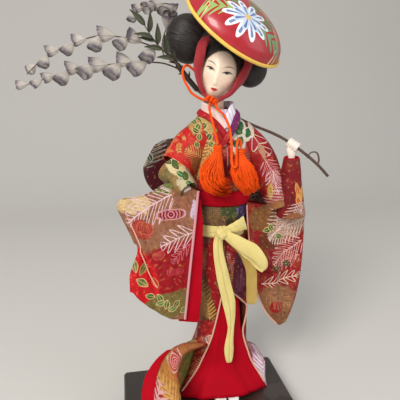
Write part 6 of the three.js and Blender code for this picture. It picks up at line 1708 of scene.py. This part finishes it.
thread, tree, shader = finish("dark_binding", Specular_IOR_Level=0.4)
cut = cut_map(tree)
part = parts(cut)
rings = calc("SINE", times_plus(part[1], 9000.0, times(part[0], 500.0)))
stain = noise(cut, 300.0, 3.0)
wear_to(shader, over(stain, tint(34, 26, 24), tint(72, 58, 50)), times_plus(stain, 0.3, 0.5), rings, 0.6,
    0.0006)
TIP = np.array((-45, -3, 347.0))
cording("branch_binding", [(-23.3, 13.8, 325.2), (-34.4, 4.6, 335.6), TIP], 2.6, thread, "branch", "dark",
        ["branch_wrap"], 20, 60)


def squared(heading, face):
    """A heading, and a face and a side square to it."""
    heading = unit(heading)
    face = unit(face - heading * (face @ heading))
    return heading, face, np.cross(heading, face)


def quads(base, rows, columns):
    """Faces between the rows of a grid of points that starts at `base`."""
    for a in (base + i * columns + j for i in range(rows - 1) for j in range(columns - 1)):
        yield (a, a + 1, a + columns + 1, a + columns)


def blades(name, items, rows, columns, outline, cup, fold, material, slot, node):
    """Many small stiff leaves in one mesh; each item is a root, a heading, a face and a size."""
    points, faces, cuts = [], [], []
    for root, heading, face, size in items:
        heading, face, side = squared(heading, face)
        base = len(points)
        for i in range(rows):
            t = i / (rows - 1)
            for j in range(columns):
                w = 2 * j / (columns - 1) - 1
                half = outline(t) * size
                lift = (cup * (t * (1 - t) * 2 + w * w * 0.5) + fold * abs(w) * outline(t)) * size
                points.append(root + heading * t * size + side * w * half + face * lift)
                cuts.append((0.5 + 0.5 * w, t))
        faces += quads(base, rows, columns)
    piece = mesh_of(name, points, faces, cuts, material)
    stiff = piece.modifiers.new("stiff", "SOLIDIFY")
    stiff.thickness, stiff.offset = 0.00035, 0
    bpy.ops.object.modifier_apply(modifier="stiff")
    bpy.ops.object.shade_smooth()
    settle(piece, "branch", slot, node)


leaf_cloth, tree, shader = finish("leaf_cloth", Sheen_Weight=0.2, Specular_IOR_Level=0.35)
cut = cut_map(tree)
part = parts(cut)
off = calc("ABSOLUTE", minus(part[0], 0.5))
veins = calc("SINE", times(minus(part[1], times(off, 0.6)), 46.0))
mottle = noise(own_place(tree), 170.0, 3.0)
colour = over(mottle, tint(38, 44, 32), tint(82, 86, 62))
colour = over(below(off, 0.03), colour, tint(122, 124, 92))
wear_to(shader, colour, times_plus(mottle, 0.3, 0.5), veins, 0.3, 0.0004)
twig_line = [TIP + at for at in ((2.4, -1.4, -3), (-3, -3.4, 3), (-13, -7, 11), (-23, -10, 21),
    (-32, -13, 34))]
cording("leaf_twig", twig_line, 0.8, bark, "branch", "stem", (), 10, 50, taper=thinning)
rng = np.random.default_rng(11)
line = trace(twig_line, 50)
last = len(line) - 1
leaves = []
for index, t in enumerate((0.24, 0.36, 0.48, 0.6, 0.72, 0.84, 0.97, 0.42, 0.66)):
    here = int(t * last)
    ahead = unit(line[min(last, here + 1)] - line[here - 1])
    side = np.array((0.6, -0.25, 0.75)) if index % 2 else np.array((-0.75, -0.1, -0.5))
    heading = ahead * 0.75 + side * (0.2 if index == 6 else 0.8)
    face = np.array((0.1, -1, 0.35)) + rng.uniform(-0.25, 0.25, 3)
    leaves.append((line[here], heading, face, rng.uniform(15.5, 19.0)))
for index in range(9):  # short sheath leaves where the sprays are bound on
    at = between(np.array((-34.0, 4.8, 335.4)), TIP + (-4, -2, 4), index / 8)
    way = index * 2.4
    heading = np.array((-0.7, -0.15, 0.7)) + 0.75 * np.array((math.cos(way), -0.5, math.sin(way)))
    leaves.append((at, heading, np.array((0.2, -1, 0.3)), rng.uniform(6.5, 9.5)))
blades("leaf_spray_blades", leaves, 11, 5, lambda t: 0.15 * math.sin(math.pi * t ** 0.7) + 0.004, 0.12, 0.3,
       leaf_cloth, "leaf", "leaf_spray")

gauze, tree, shader = finish("blossom_gauze", Specular_IOR_Level=0.4, Coat_Weight=0.1)
cut = cut_map(tree)
part = parts(cut)
mottle = noise(own_place(tree), 190.0, 3.0)
ribs = calc("SINE", times(part[0], 75.4))
colour = over(mottle, tint(168, 158, 150), tint(226, 218, 206))
lip = times_plus(minus(mottle, 0.5), 0.5, part[1])
dark = soft_step(lip, 0.92, 0.56)
colour = over(times(dark, 0.88), colour, tint(54, 38, 64))
wear_to(shader, colour, times_plus(mottle, 0.3, 0.4), ribs, 0.3, 0.0003)
tree.links.new(times_plus(dark, 0.3, 0.66), shader.inputs["Alpha"])


def bells(name, items, node):
    """Blossoms: thin cups, narrow at the root, swelling and then lipped, with a wavy mouth."""
    points, faces, cuts = [], [], []
    rows, columns = 8, 14
    for root, heading, face, size in items:
        heading, face, side = squared(heading, face)
        base = len(points)
        for i in range(rows):
            t = i / (rows - 1)
            for j in range(columns + 1):
                turn = 2 * math.pi * j / columns
                wide = 0.05 + 0.4 * math.sin(min(t * 1.9, 1.9)) + 0.04 * t ** 6 * math.cos(3 * turn)
                far = t * (1 + 0.1 * t * math.cos(turn + 0.4)) + 0.025 * t ** 4 * math.sin(5 * turn)
                off = side * (wide * math.cos(turn)) + face * (wide * 0.7 * math.sin(turn))
                points.append(root + size * (heading * far + off))
                cuts.append((j / columns, t))
        faces += quads(base, rows, columns + 1)
    piece = mesh_of(name, points, faces, cuts, gauze)
    bpy.ops.object.shade_smooth()
    on_all(bpy.ops.mesh.remove_doubles, threshold=0.00001)
    on_all(bpy.ops.mesh.normals_make_consistent, inside=False)
    settle(piece, "branch", "blossom", node)


for node, start, count, places in (
    ("upper_raceme", 0.5, 7, (
        (3, 2, -2.6), (-3, 5, 3), (-11, 19, 11), (-10, 36, 28), (-2, 41, 49), (-2, 35, 60), (-15, 29, 59),
        (-33, 22, 53), (-45, 19, 44))),
    ("middle_raceme", 0.24, 10, (
        (3.4, 0.6, -1.4), (-3, 0, 5.5), (-12, -2, 12), (-27, -4, 17), (-48, -8, 22), (-71, -11, 23),
        (-97, -14, 14), (-118, -17, 3), (-133, -19, -11))),
    ("lower_raceme", 0.26, 10, (
        (2.2, 1.4, -4), (-4, 0, -1.5), (-15, -2, 1.5), (-45, -6, 1), (-75, -11, -3), (-105, -15, -9.5),
        (-122, -17, -15.5), (-143, -19, -22.5))),
):
    stalk_line = [TIP + at for at in places]
    cording(node + "_stalk", stalk_line, 0.75, bark, "branch", "stem", (), 8, 90, taper=thinning)
    line = trace(stalk_line, 120)
    last = len(line) - 1
    blossoms = []
    for index in range(count):
        share = index / (count - 1)
        size = between(16.5, 10.5, share ** 1.3) * rng.uniform(0.85, 1.1)
        here = int(between(start, 0.95, share) * last)
        ahead = unit(line[min(last, here + 2)] - line[max(0, here - 2)])
        turn = 1 if index % 2 else -1
        side = np.array((0, 0.35 * turn, 0.45 * turn - 0.3))
        heading = ahead * 0.9 + side * rng.uniform(0.5, 1.4) + rng.uniform(-0.25, 0.25, 3)
        face = np.array((0.1, -1, 0.2)) + rng.uniform(-0.4, 0.4, 3)
        blossoms.append((line[here] - ahead * size * 0.3, heading, face, size))
    bells(node + "_blossoms", blossoms, node)
